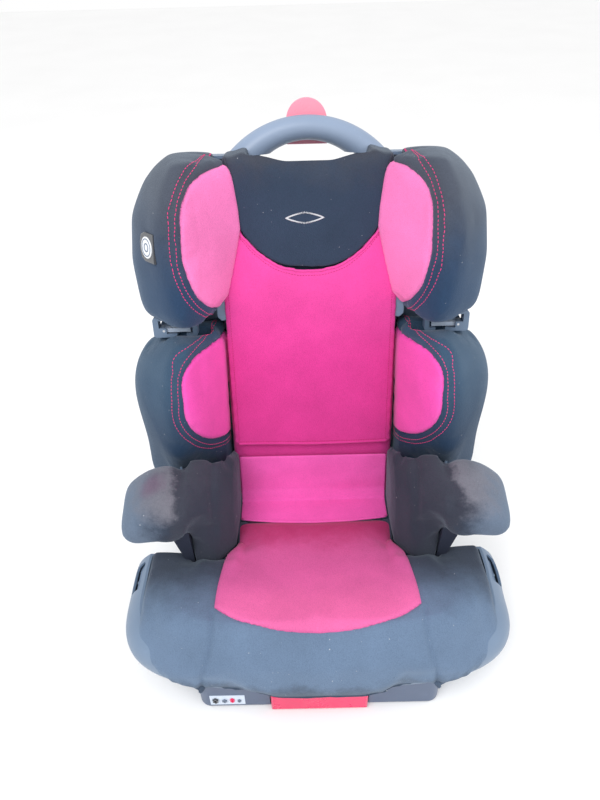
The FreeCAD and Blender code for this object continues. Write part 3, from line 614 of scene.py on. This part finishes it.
class Wing:
    """Pattern of a wing: u runs along the fabric from the inner edge round the nose, s runs up.
    levels are (s, nose x, nose t, outer x). reaches are the lining panel's widths along u; up and
    down are its height above and below middle, each with the power of its rounded corner. rows are
    the stitches' distances from the panel, inner is how far the wall leans in at each s, and lip
    is the t behind which it stays upright."""

    def __init__(self, root, levels, reaches, middle, up, down, rows, inner, lip, cloth, lining):
        self.root = root
        self.levels = np.array(levels)
        self.reaches = reaches
        self.middle = middle
        self.up = up
        self.down = down
        self.rows = rows
        self.inner = inner
        self.lip = lip
        self.cloth = cloth
        self.lining = lining

    def section(self, s):
        """Plan of the wing at a level, as a closed smooth line of (x, t) with its running length."""
        nose_x, nose_t, outer = [np.interp(s, self.levels[:, 0], self.levels[:, k]) for k in (1, 2, 3)]
        root, reach = self.root, outer - nose_x
        corners = np.array([
            (root, -18), (root + 5, 0.42 * nose_t), (root + 0.42 * (nose_x - root), 0.80 * nose_t),
            (nose_x - 9, 0.98 * nose_t), (nose_x + 5, nose_t), (nose_x + 0.42 * reach, 0.86 * nose_t),
            (nose_x + 0.80 * reach, 0.58 * nose_t), (outer, 0.28 * nose_t), (outer - 3, -9),
            (outer - 16, 1), (root + 40, 1), (root + 8, 1)])
        line = []
        for i in range(len(corners)):
            a, b, c, d = [corners[(i + k) % len(corners)] for k in (-1, 0, 1, 2)]
            for share in np.linspace(0, 1, 8, endpoint=False):
                line.append(0.5 * (2 * b + (c - a) * share + (2 * a - 5 * b + 4 * c - d) * share ** 2
                                   + (3 * b - a - 3 * c + d) * share ** 3))
        line.append(corners[0])
        line = np.array(line)
        lengths = np.concatenate([[0], np.cumsum(np.linalg.norm(np.diff(line, axis=0), axis=1))])
        return line, lengths

    def unroll(self, back):
        """u and s of points given in the leaning frame on the right side."""
        u = np.zeros(len(back))
        bins = np.round(back[:, 2] / 3)
        for number in np.unique(bins):
            chosen = bins == number
            line, lengths = self.section(number * 3)
            start, run = line[:-1], np.diff(line, axis=0)
            offset = back[chosen][:, None, :2] - start[None]
            share = np.clip((offset * run).sum(-1) / (run ** 2).sum(-1), 0, 1)
            gap = np.linalg.norm(offset - share[..., None] * run, axis=-1)
            best = gap.argmin(axis=1)
            at = np.arange(len(best))
            u[chosen] = lengths[best] + share[at, best] * np.linalg.norm(run, axis=1)[best]
        return u, back[:, 2]

    def place(self, u, s):
        """The point of the plain wing surface at (u, s)."""
        line, lengths = self.section(s)
        return back_point(np.interp(u, lengths, line[:, 0]), np.interp(u, lengths, line[:, 1]), s)

    def panel_distance(self, u, s, side):
        """Distance in mm outside the inner panel's edge, negative within the panel."""
        rise = s - self.middle
        reach = np.where(rise > 0, self.up[0], self.down[0])
        power = np.where(rise > 0, self.up[1], self.down[1])
        size = (np.abs(u) / self.reaches[side]) ** power + (np.abs(rise) / reach) ** power
        size = size ** (1 / power)
        distance = np.hypot(u, rise) * (1 - 1 / np.maximum(size, 1e-6))
        return np.maximum(distance, self.levels[0, 0] + 5 - s)

    def panel_edge(self, offset, side):
        """Line at a distance outside the panel's edge, from its top to its bottom, as points (u, s).
        It runs closer to the panel below."""
        edge = []
        for angle in np.linspace(math.pi / 2, -math.pi / 2, 90):
            height, power = self.up if angle > 0 else self.down
            u = self.reaches[side] * abs(math.cos(angle)) ** (2 / power)
            rise = math.copysign(height * abs(math.sin(angle)) ** (2 / power), angle)
            edge.append((u, self.middle + rise))
        edge = np.array(edge)
        along = np.gradient(edge, axis=0)
        along /= np.maximum(np.linalg.norm(along, axis=1, keepdims=True), 1e-9)
        outward = np.stack([-along[:, 1], along[:, 0]], axis=1)
        closer = 1.0 - 0.4 * np.clip((self.middle - edge[:, 1]) / self.down[0], 0, 1)
        return edge + outward * (offset * closer)[:, None]


HEAD_WING = Wing(108.0, [(296, 147, -118, 209), (314, 149, -130, 213), (367, 151, -141, 215),
                         (420, 150, -141, 208), (458, 147, -135, 191), (474, 142, -124, 179),
                         (486, 138, -112, 162)],
                 reaches={"left": 121.0, "right": 110.0}, middle=392.0, up=(86.0, 3.0), down=(95.0, 2.1),
                 rows=(8.5, 16.0),
                 inner=[(297, 4), (320, 9), (360, 19), (402, 29), (424, 28), (452, 25), (474, 22),
                        (486, 20)],
                 lip=-50.0, cloth="wing_cloth", lining="pink_head")
TORSO_WING = Wing(120.5, [(24, 170, -70, 226), (85, 166, -98, 234), (150, 162, -130, 236),
                          (212, 161, -141, 235), (255, 160, -141, 214), (284, 152, -119, 184)],
                  reaches={"left": 128.0, "right": 128.0}, middle=205.0, up=(63.0, 5.0), down=(88.0, 1.9),
                  rows=(9.0, 18.0),
                  inner=[(24, 7), (284, 11.5)], lip=-10.0, cloth="torso_cloth", lining="pink_torso")


def loft_mesh(rings):
    """A closed form through rings of points with equal counts."""
    count = len(rings[0])
    verts = [point for ring in rings for point in ring]
    faces = [tuple(range(count)), tuple(reversed(range(len(verts) - count, len(verts))))]
    for i in range(len(rings) - 1):
        for k in range(count):
            j = (k + 1) % count
            faces.append((i * count + k, i * count + j, (i + 1) * count + j, (i + 1) * count + k))
    return outward(made_mesh(verts, faces))


def outward(mesh):
    """The mesh with its faces turned outwards."""
    bm = bmesh.new()
    bm.from_mesh(mesh)
    bmesh.ops.recalc_face_normals(bm, faces=bm.faces[:])
    bm.to_mesh(mesh)
    bm.free()
    return mesh


SHELL_FRONT = -1.0
GUIDE_TOP = 338
GUIDE_SIDE = 156
GUIDE_FRONT = -23.0


def head_wing_form():
    """The head wing's whole form, so that its cover reaches round the headrest shell's edge. It
    stops in front of the shell and of the belt guide."""
    rings = []
    for s in np.linspace(297, 486, 30):
        ring = []
        for x, t in HEAD_WING.section(s)[0][:-1]:
            x += 4.0 * min(1.0, max(0.0, (x - 180.0) / 20.0))
            front = GUIDE_FRONT if s < GUIDE_TOP and x < GUIDE_SIDE else SHELL_FRONT
            ring.append(back_point(x, min(t, front), s))
        rings.append(ring)
    return loft_mesh(rings)


def leaned_in(mesh, wing, u):
    """Draws the wing's inner wall towards the middle, so that its lining runs in to the pad or
    the apron in a slope."""
    back = to_back(coordinates(mesh))
    levels, reach = zip(*wing.inner)
    draw = np.interp(back[:, 2], levels, reach)
    slope = np.clip((back[:, 1] + 112.0) / 50.0, 0, 1) ** 1.2
    lip = np.clip((wing.lip - back[:, 1]) / 8.0, 0, 1)
    inner = (u < 100.0) & (back[:, 0] < 150.0)
    points = coordinates(mesh)
    points[:, 0] -= draw * slope * lip * inner * MM
    set_coordinates(mesh, points)


TORSO_NOSE_OUT = 11.0
WALL_COVER = 0.005


def edge_cover(back):
    """Share of extra padding over the front edge of the back frame's side wall, low in the wing."""
    low = step_between(back[:, 2], 40, 80) * (1 - step_between(back[:, 2], 125, 150))
    front = step_between(-back[:, 1], 78, 96) * falloff(back[:, 0] - 174.0, 16.0)
    return low * front


def build_wing(kind, wing, body):
    source = head_wing_form() if kind == "head_wing" else NODES[kind + "_right"].data
    right, rest = soft_mesh(source, voxel=0.0048, shrink=0.0022, cap=0.0040)
    back = to_back(rest)
    if wing is TORSO_WING:
        forward = TORSO_NOSE_OUT * step_between(back[:, 2], 228, 274) * step_between(-back[:, 1], 40, 100)
        moved(right, -forward, 1, 0)
        back[:, 1] -= forward
    u, s = wing.unroll(back)
    leaned_in(right, wing, u)
    if wing is TORSO_WING:
        displaced(right, WALL_COVER * edge_cover(back))
    middle_row = sum(wing.rows) / len(wing.rows) * MM
    for side, mesh in (("right", right.copy()), ("left", flipped_copy(right))):
        sign = 1 if side == "right" else -1
        distance = wing.panel_distance(u, s, side) * MM
        seams = 0.0016 * falloff(distance, 0.0022) + 0.0008 * falloff(distance - middle_row, 0.0025)
        displaced(mesh, -seams)
        tree = surface_tree(mesh)
        sewn_panel(mesh, distance, "%s_panel_%s" % (kind, side), body, wing.lining)
        cover = new_object("%s_cover_%s" % (kind, side), mesh, body, wing.cloth)
        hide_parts("%s_%s" % (kind, side))
        for number, offset in enumerate(wing.rows):
            line = []
            for a, b in wing.panel_edge(offset, side):
                if wing.levels[0, 0] + 4 < b < wing.levels[-1, 0] + 8:
                    point = wing.place(a, b)
                    line.append((point.x * sign, point.y, point.z))
            row = stitches(line, tree)
            new_object("%s_stitches_%d_%s" % (kind, number + 1, side), row, body, "thread")


# ---------- head pad and apron ----------

SMILE_LOW = 353.0
SMILE_RISE = 49.0
SMILE_HALF = 83.0
PAD_TOP = 474.0


def smile_height(x):
    """Lower edge of the head pad's black panel."""
    return SMILE_LOW + SMILE_RISE * (abs(x) / SMILE_HALF) ** 2.4


def smile_side(s):
    """Half width of the black panel above the corners of its smile."""
    return SMILE_HALF + 15.0 * (max(0.0, s - SMILE_LOW - SMILE_RISE) / 72.0) ** 1.6


def smile_line(count=60, inset=0.0):
    """The panel's lower edge from corner to corner, moved down by inset."""
    xs = [SMILE_HALF * (2 * k / count - 1) for k in range(count + 1)]
    return [(x, smile_height(x) - inset) for x in xs]


def build_head_pad():
    mesh, rest = soft_mesh(NODES["head_pad"].data, voxel=0.0045, shrink=0.0022, cap=0.0035)
    back = to_back(rest)
    outside = np.array([max(smile_height(x) - s, abs(x) - smile_side(s)) for x, _, s in back])
    front = np.clip((-back[:, 1] - 32.0) / 10.0, 0, 1)
    push = np.clip(outside / 3.0, 0, 1) * front * 7.5
    crown = np.clip(-outside / 40.0, 0, 1) ** 0.6 * front * 2.0
    crest = step_between(back[:, 2], 440, 468)
    over = 24.0 * crest * step_between(back[:, 1], -48, -36)
    wide = np.abs(back[:, 0])
    lift = crest * (8.0 + 7.0 * step_between(wide, 22, 60) * (1 - step_between(wide, 74, 96)))
    moved(mesh, push - crown + over, 1, 0)
    moved(mesh, lift, 0, 1)
    pad = new_object("head_pad_cover", mesh, "headrest", "head_cloth")
    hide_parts("head_pad")
    return surface_tree(mesh)


APRON_HALF = 109.0
APRON_LOW = 100.0
APRON_FRONT = -57.0
APRON_REAR = -50.5


def apron_outline():
    """Corners of the pink panel round the head pad's black panel, as (x, s)."""
    right = [(APRON_HALF - 4, APRON_LOW), (APRON_HALF, APRON_LOW + 5), (APRON_HALF, 330), (107, 400)]
    right += [(105, PAD_TOP - 4), (smile_side(PAD_TOP) + 1, PAD_TOP - 2)]
    right += [(smile_side(s), s) for s in (462, 447, 432, 417)]
    left = [(-x, s) for x, s in reversed(right)]
    return left[-1:] + right + smile_line(24)[::-1] + left[:-1]


def slab(outline, front, rear):
    """A flat slab in the leaning frame with an outline of (x, s) points."""
    return loft_mesh([[back_point(x, t, s) for x, s in outline] for t in (front, rear)])


def build_apron():
    plain = slab(apron_outline(), APRON_FRONT, APRON_REAR)
    mesh, rest = soft_mesh(plain, voxel=0.0034, shrink=0.0004, cap=0.0012, smooth=3)
    x, _, s = to_back(rest).T
    hang = np.clip((330 - s) / 200, 0, 1)
    slack = 0.7 * np.sin(x / 31.0 + 0.8) * hang + 0.5 * np.sin(s / 23.0 + x / 60.0)
    belly = 2.2 * np.cos(np.clip(x / APRON_HALF, -1, 1) * math.pi / 2) ** 0.8
    moved(mesh, -slack - belly, 1, 0)
    apron = new_object("apron_panel", mesh, "headrest", "pink_apron")
    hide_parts("apron")
    tree = surface_tree(mesh)
    piping = snapped([back_point(x, -62, s) for x, s in smile_line(60, 1.0)], tree, 0.0004)
    new_object("smile_piping", tube_mesh(piping, 0.0017), "headrest", "pink_apron")
    lines = {"smile_stitches": [(x, s) for x, s in smile_line(60, 7.0)],
             "apron_stitches_left": [(-103.5, s) for s in range(106, 330, 8)],
             "apron_stitches_right": [(103.5, s) for s in range(106, 330, 8)],
             "apron_stitches_low": [(x, 107.0) for x in range(-100, 104, 8)]}
    for name, line in lines.items():
        points = [back_point(x, -70, s) for x, s in line]
        row = stitches(points, tree, length=0.0022, gap=0.0012, radius=0.0003)
        new_object(name, row, "headrest", "dark_thread")
    hem = snapped([back_point(x, -70, APRON_LOW + 1.5) for x in range(-106, 107, 4)], tree, 0.0)
    new_object("apron_hem", tube_mesh(hem, 0.0021), "headrest", "pink_apron")


def build_side_plates():
    """Plastic wings of the headrest that show between each head wing's lower end and the apron."""
    outline = [(94, 288), (113, 286), (118, 291), (119, 338), (94, 342)]
    plate = with_modifiers(slab(outline, -53.0, -47.0), ("BEVEL", {"width": 0.0012, "segments": 3}))
    for side, mesh in (("right", plate), ("left", flipped_copy(plate))):
        new_object("headrest_side_plate_" + side, mesh, "headrest", "grey")


def lozenge_line(half_width, half_height, middle_x, middle_s, count=72):
    """A soft-cornered lozenge."""
    line = []
    for k in range(count):
        angle = 2 * math.pi * k / count
        c, s = math.cos(angle), math.sin(angle)
        size = (abs(c) ** 1.25 + abs(s) ** 1.25) ** (-1 / 1.25)
        line.append((middle_x + half_width * c * size, middle_s + half_height * s * size))
    return line


def build_embroidery(pad_tree):
    """A plain lozenge in satin stitch on the head pad."""
    meshes = []
    inner = lozenge_line(19.5, 5.0, -5.0, 414.0)
    outer = lozenge_line(23.0, 7.2, -5.0, 414.0)
    for (xa, sa), (xb, sb) in zip(inner, outer):
        ends = snapped([back_point(xa, -70, sa), back_point((xa + xb) / 2, -70, (sa + sb) / 2),
                        back_point(xb, -70, sb)], pad_tree, 0.0003)
        meshes.append(tube_mesh(ends, 0.0006, sides=6, taper=(0.5, 1.0, 0.5)))
    new_object("embroidered_lozenge", joined(meshes), "headrest", "white_thread")


# ---------- seat cushion, bolsters, armrests, back pad and flap ----------

CUSHION_FRONT = -176.0
CUSHION_ARC = 41.0
CUSHION_HALF = 124.0


def cushion_panel_distance(points):
    """Distance outside the pink panel on the cushion's top, in metres; points in mm."""
    x, y, z = np.abs(points[:, 0]), points[:, 1], points[:, 2]
    front = CUSHION_FRONT + CUSHION_ARC * (x / CUSHION_HALF) ** 2.6 - y
    side = x - CUSHION_HALF
    below = (116.0 + (60.0 - y) * 0.1775 - 24.0) - z
    return np.maximum(np.maximum(front * 0.93, side), below) * MM


def cushion_swell(points):
    """Shape of the cushion: it rolls over the tub's front corners, fills the tub's flanks
    and closes up to the hip bolsters. Gives the shift of each point, in mm."""
    x, y, z = np.abs(points[:, 0]), points[:, 1], points[:, 2]
    sign = np.sign(points[:, 0])
    corner = step_between(x, 90, 165) * step_between(-y, 105, 155) * step_between(-z, -132, -106)
    flank = step_between(x, 196, 212) * step_between(z, 92, 104) * (1 - step_between(z, 132, 146))
    notch = step_between(x, 96, 108) * (1 - step_between(x, 150, 168)) * step_between(z, 104, 124)
    notch *= step_between(y, -90, -62) * (y < -20)
    away = np.stack([points[:, 0], points[:, 1] + 60.0], axis=1)
    away /= np.linalg.norm(away, axis=1, keepdims=True)
    shift = np.zeros_like(points)
    lower = step_between(-y, 145, 172) * step_between(-z, -112, -88)
    shift[:, :2] = away * (18.0 * corner)[:, None]
    shift[:, 1] -= 2.5 * lower
    shift[:, 2] = -18.0 * corner - 11.0 * lower * (1 - corner) + 3.0 * notch
    shift[:, 0] += sign * 6.0 * flank
    shift[:, 1] += 9.0 * notch
    return shift


def build_cushion():
    mesh, rest = soft_mesh(NODES["seat_cushion"].data, voxel=0.0055, shrink=0.0028, cap=0.0065)
    points = rest / MM
    x, y, z = np.abs(points[:, 0]), points[:, 1], points[:, 2]
    distance = cushion_panel_distance(points)
    set_coordinates(mesh, coordinates(mesh) + cushion_swell(points) * MM)
    seam = (x - CUSHION_HALF - (158.0 - z) * 0.16) * MM
    on_front = np.clip((CUSHION_FRONT + CUSHION_ARC - 2 - y) / 6.0, 0, 1) * (z < 160)
    corner = np.clip((x - 135.0) / 50.0, 0, 1) * np.clip((118.0 - z) / 45.0, 0, 1) * (y < -40)
    folds = np.sin(np.arctan2(x - 120.0, -(y + 110.0)) * 34.0)
    displaced(mesh, -0.0016 * falloff(distance, 0.0025) - 0.0030 * falloff(seam, 0.0026) * on_front
              + 0.0016 * folds * corner)
    top = surface_tree(mesh)
    sewn_panel(mesh, distance, "cushion_panel", "seat", "pink_cushion", puff=0.0016)
    cover = new_object("cushion_cover", mesh, "seat", "cushion_cloth")
    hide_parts("seat_cushion")
    return top


def build_arms():
    """The cover that runs from the hip bolster up over the armrest, on each side."""
    bolster = NODES["hip_bolster_right"].data.copy()
    points = coordinates(bolster)
    points[:, 0] = np.where(points[:, 0] > 0.1565, 0.1605, points[:, 0])
    crest = step_between(points[:, 0], 0.108, 0.118) * step_between(points[:, 2], 0.165, 0.200)
    points[:, 2] += 0.014 * crest * (1 - 0.35 * step_between(points[:, 0], 0.140, 0.160))
    set_coordinates(bolster, points)
    both = joined([bolster, NODES["armrest_pad_right"].data])
    right, rest = soft_mesh(both, voxel=0.0042, shrink=0.0022, cap=0.0045, smooth=8)
    points = rest / MM
    fold = (points[:, 0] - 130.0) * MM
    on_top = np.clip((points[:, 2] - 150.0) / 30.0, 0, 1)
    displaced(right, -0.0022 * falloff(fold, 0.004) * on_top)
    for side, mesh in (("right", right), ("left", flipped_copy(right))):
        cover = new_object("arm_cover_" + side, mesh, "seat", "arm_cloth")
        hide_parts("hip_bolster_" + side, "armrest_pad_" + side)


def build_back_pad():
    mesh, rest = soft_mesh(NODES["back_pad"].data, voxel=0.0055, shrink=0.002, cap=0.004)
    points = coordinates(mesh)
    reach = np.where(to_back(rest)[:, 2] > 264.0, 0.080, 0.125)
    points[:, 0] = np.clip(points[:, 0], -reach, reach)
    set_coordinates(mesh, points)
    pad = new_object("back_pad_cover", mesh, "backrest", "pink")
    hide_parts("back_pad")


FLAP_HALF = 105.0


def flap_profile(x):
    """The flap's line from behind the apron down onto the cushion, in mm (y, z)."""
    hem_y = 15.0 + 9.0 * (x / 100.0) ** 2
    line = [back_point(0, -54.5, s) / MM for s in (84, 74, 62, 50, 38, 26)]
    line = [(p.y, p.z) for p in line]
    for k in range(10):
        y = 62.0 + (hem_y - 62.0) * k / 9
        line.append((y, 121.0 + (60.0 - y) * 0.1775 - 6.0 * k / 9))
    return line


def build_flap(cushion_tree):
    columns, rows = 51, 42
    verts, faces = [], []
    for i in range(columns):
        x = FLAP_HALF * (2.0 * i / (columns - 1) - 1.0)
        line = resampled([Vector((x, y, z)) for y, z in flap_profile(x)], 1.0)
        picks = np.linspace(0, len(line) - 1, rows)
        for j, pick in enumerate(picks):
            point = Vector(line[int(round(pick))]) * MM
            hit = cushion_tree.ray_cast(point + Vector((0, 0, 0.05)), Vector((0, 0, -1)))[0]
            if hit is not None and point.z < hit.z + 0.0020:
                point.z = hit.z + 0.0020
            down = j / (rows - 1)
            fold = 0.9 * math.sin(down * 17.0 + x / 38.0)
            fold += 0.5 * math.sin(x / 9.0 + down * 9.0) * abs(x) / 100.0
            ripple = fold * MM * math.sin(math.pi * min(1.0, down * 1.15))
            verts.append(point + Vector((0, -0.5, 0.8)) * max(ripple, -0.0004))
    for i in range(columns - 1):
        for j in range(rows - 1):
            a = i * rows + j
            faces.append((a, a + 1, a + rows + 1, a + rows))
    mesh = with_modifiers(made_mesh(verts, faces), ("SMOOTH", {"factor": 0.5, "iterations": 4}),
                          ("SOLIDIFY", {"thickness": 0.0028, "offset": 1.0}),
                          ("SUBSURF", {"levels": 1, "render_levels": 1}))
    smooth_shaded(mesh)
    flap = new_object("lower_flap_panel", mesh, None, "pink_flap")
    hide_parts("lower_flap")
    tree = surface_tree(mesh)
    ends = [(x, *flap_profile(x)[-1]) for x in range(-102, 103, 4)]
    hem = snapped([Vector((x, y, z + 3)) * MM for x, y, z in ends], tree, 0.0)
    hem_tube = new_object("flap_hem", tube_mesh(hem, 0.0016), None, "pink_flap")
    for piece in (flap, hem_tube):
        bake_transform(piece)


# ---------- small hard pieces ----------

BADGE_PLACE = (-178.5, -118.5, 398.0)
BADGE_NORMAL = (-0.78, -0.62, 0.08)


def turned_ring(inner, outer, low, high, steps=48):
    """A flat ring with bevelled rims about the Z axis; an inner radius of 0 makes a disc."""
    bevel = min(0.0003, (high - low) / 3)
    profile = [(inner, low), (outer, low), (outer, high - bevel), (outer - bevel, high)]
    profile += [(inner + bevel, high), (inner, high - bevel)]
    count = len(profile)
    verts, faces = [], []
    for k in range(steps):
        angle = 2 * math.pi * k / steps
        verts += [(r * math.cos(angle), r * math.sin(angle), z) for r, z in profile]
    for k in range(steps):
        n = (k + 1) % steps
        for i in range(count):
            j = (i + 1) % count
            faces.append((k * count + i, n * count + i, n * count + j, k * count + j))
    return outward(made_mesh(verts, faces))


def build_badge():
    """A plain round plaque: a dark tab behind it, a pale disc and two rings."""
    normal = back_direction(*BADGE_NORMAL)
    middle = back_point(*BADGE_PLACE)
    upright = back_direction(0, 0, 1)
    side = upright.cross(normal).normalized()
    turn = Matrix((side, normal.cross(side), normal)).transposed().to_4x4()
    tab = [(15.5, 16.5), (-6.0, 16.5), (-14.0, 13.0), (-17.0, 5.0), (-17.0, -5.0), (-14.0, -13.0),
           (-6.0, -16.5), (15.5, -16.5)]
    rings = [[Vector((x * k, y * k, z)) * MM for x, y in tab] for k, z in ((1.0, -4.0), (0.97, 1.2))]
    tab_mesh = with_modifiers(loft_mesh(rings), ("BEVEL", {"width": 0.0007, "segments": 3}))
    pieces = {"badge_tab": (tab_mesh, "black_gloss"),
              "badge_disc": (turned_ring(0.0, 0.0118, 0.001, 0.0022), "silver"),
              "badge_ring_outer": (turned_ring(0.0088, 0.0100, 0.002, 0.0027), "slate"),
              "badge_ring_inner": (turned_ring(0.0035, 0.0050, 0.002, 0.0027), "slate")}
    for name, (mesh, material) in pieces.items():
        mesh.transform(Matrix.Translation(middle) @ turn)
        obj = new_object(name, mesh, "headrest", material)
        if name == "badge_disc":
            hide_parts("side_badge")


CLIP_TILT = math.radians(58.0)
CLIP_CENTRE = Vector((0.2332, -0.055, 0.101))


def rounded_bar(length, width, height):
    """A small bar with rounded edges, lying on z = 0."""
    bm = bmesh.new()
    bmesh.ops.create_cube(bm, size=1.0)
    bmesh.ops.scale(bm, vec=(width, length, height), verts=bm.verts[:])
    bmesh.ops.bevel(bm, geom=bm.edges[:], offset=min(width, height) * 0.3, segments=2, affect="EDGES")
    mesh = bpy.data.meshes.new("bar")
    bm.to_mesh(mesh)
    bm.free()
    return mesh


def build_clip_marks():
    """Black bars round the oval clip cover on each flank, painted shade standing in for its open slots,
    with small pale moulded dots.
    """
    turn = Matrix.Rotation(CLIP_TILT, 4, "Y")
    for side, sign in (("right", 1), ("left", -1)):
        slot_shadows, dots = [], []
        for x in (-10.0, 10.0):
            for y in (-9.5, 9.5):
                bar = rounded_bar(0.0125, 0.0022, 0.0016)
                bar.transform(Matrix.Translation((x * MM, y * MM, 0.0008)))
                slot_shadows.append(bar)
            dot = rounded_bar(0.0022, 0.0014, 0.0012)
            dot.transform(Matrix.Translation((x * MM, 0, 0.001)))
            dots.append(dot)
        groups = (("clip_slot_shadows_", slot_shadows, "black_gloss"), ("clip_dots_", dots, "light"))
        for name, meshes, material in groups:
            mesh = joined(meshes)
            mesh.transform(Matrix.Translation(CLIP_CENTRE) @ turn)
            if sign < 0:
                mesh = flipped_copy(mesh)
            new_object(name + side, mesh, "seat", material)


def build_label_marks():
    """Plain colour marks on the front sticker."""
    low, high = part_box("front_label")
    width, height = high.x - low.x, high.z - low.z
    marks = [("dark", 0.16, 0.5, 0.16, 0.45, "black_gloss"), ("pale", 0.42, 0.45, 0.14, 0.3, "slate"),
             ("red", 0.64, 0.5, 0.12, 0.4, "red"), ("blue", 0.84, 0.42, 0.10, 0.3, "slate")]
    for name, across, up, wide, tall, material in marks:
        bar = rounded_bar(0.0003, wide * width, tall * height)
        bar.transform(Matrix.Translation((low.x + across * width, low.y - 0.0001, low.z + up * height)))
        new_object("label_mark_" + name, bar, "recline_base", material)


# ---------- the plain frame ----------

def dress_frame():
    """Every CAD node gets the material of its slot, or the one NODE_MATERIALS names for it."""
    for row in frame["record"]["subparts"]:
        obj = NODES[row["node"]]
        material = MATERIALS[NODE_MATERIALS.get(row["node"], SLOT_MATERIALS[row["material_slot"]])]
        if obj.material_slots:
            for material_slot in obj.material_slots:
                material_slot.material = material
        else:
            obj.data.materials.append(material)


# ---------- camera, light and floor ----------

CAMERA_PLACE = (-0.01224, -0.57499, 0.82094)
CAMERA_LENS = 28.82
CAMERA_PITCH = math.radians(38.82)
CAMERA_YAW = math.radians(-0.32)
CAMERA_ROLL = math.radians(1.53)


def aim_camera():
    """The camera stands in front of the seat above head height and looks down at it."""
    pitch, yaw, roll = CAMERA_PITCH, CAMERA_YAW, CAMERA_ROLL
    forward = Vector((math.sin(yaw) * math.cos(pitch), math.cos(yaw) * math.cos(pitch), -math.sin(pitch)))
    level = Vector((math.cos(yaw), -math.sin(yaw), 0))
    upright = level.cross(forward)
    right = level * math.cos(roll) - upright * math.sin(roll)
    up = level * math.sin(roll) + upright * math.cos(roll)
    data = bpy.data.cameras.new("camera")
    data.sensor_width = 36.0
    data.lens = CAMERA_LENS
    camera = bpy.data.objects.new("camera", data)
    turn = Matrix((right, up, -forward)).transposed().to_4x4()
    camera.matrix_world = Matrix.Translation(CAMERA_PLACE) @ turn
    bpy.context.collection.objects.link(camera)
    bpy.context.scene.camera = camera


def add_area_light(name, place, target, size, power):
    data = bpy.data.lights.new(name, "AREA")
    data.shape = "DISK"
    data.size = size
    data.energy = power
    light = bpy.data.objects.new(name, data)
    place = Vector(place)
    light.location = place
    light.rotation_euler = (Vector(target) - place).to_track_quat("-Z", "Y").to_euler()
    bpy.context.collection.objects.link(light)


def light_studio():
    world = bpy.data.worlds.new("studio")
    world.use_nodes = True
    background = world.node_tree.nodes["Background"]
    background.inputs[0].default_value = (1.0, 1.0, 1.0, 1.0)
    background.inputs[1].default_value = 1.0
    bpy.context.scene.world = world
    bpy.context.scene.view_settings.view_transform = "Standard"
    add_area_light("key", (-0.7, -1.1, 1.9), (0, 0, 0.3), 1.2, 22.0)
    add_area_light("fill", (1.3, -0.6, 1.3), (0, 0, 0.3), 1.2, 8.0)


FLOOR_HALF = 6.0


def lay_floor():
    corners = [(x * FLOOR_HALF, y * FLOOR_HALF, -0.0005) for x, y in ((-1, -1), (1, -1), (1, 1), (-1, 1))]
    mesh = made_mesh(corners, [(0, 1, 2, 3)])
    floor = bpy.data.objects.new("floor", mesh)
    shader = Shader("pale_floor")
    shader.colour(shader.ramp(shader.noise(3.0), [(0.2, (0.93,) * 3), (0.8, (0.96,) * 3)]))
    shader.roughness(shader.noise(20.0), 0.85, 0.95)
    mesh.materials.append(shader.material)
    bpy.context.collection.objects.link(floor)


dress_frame()
aim_camera()
light_studio()
lay_floor()
build_wing("head_wing", HEAD_WING, "headrest")
build_wing("torso_wing", TORSO_WING, "backrest")
HEAD_PAD_TREE = build_head_pad()
build_apron()
build_side_plates()
build_embroidery(HEAD_PAD_TREE)
build_back_pad()
CUSHION_TREE = build_cushion()
build_flap(CUSHION_TREE)
build_arms()
build_badge()
build_clip_marks()
build_label_marks()
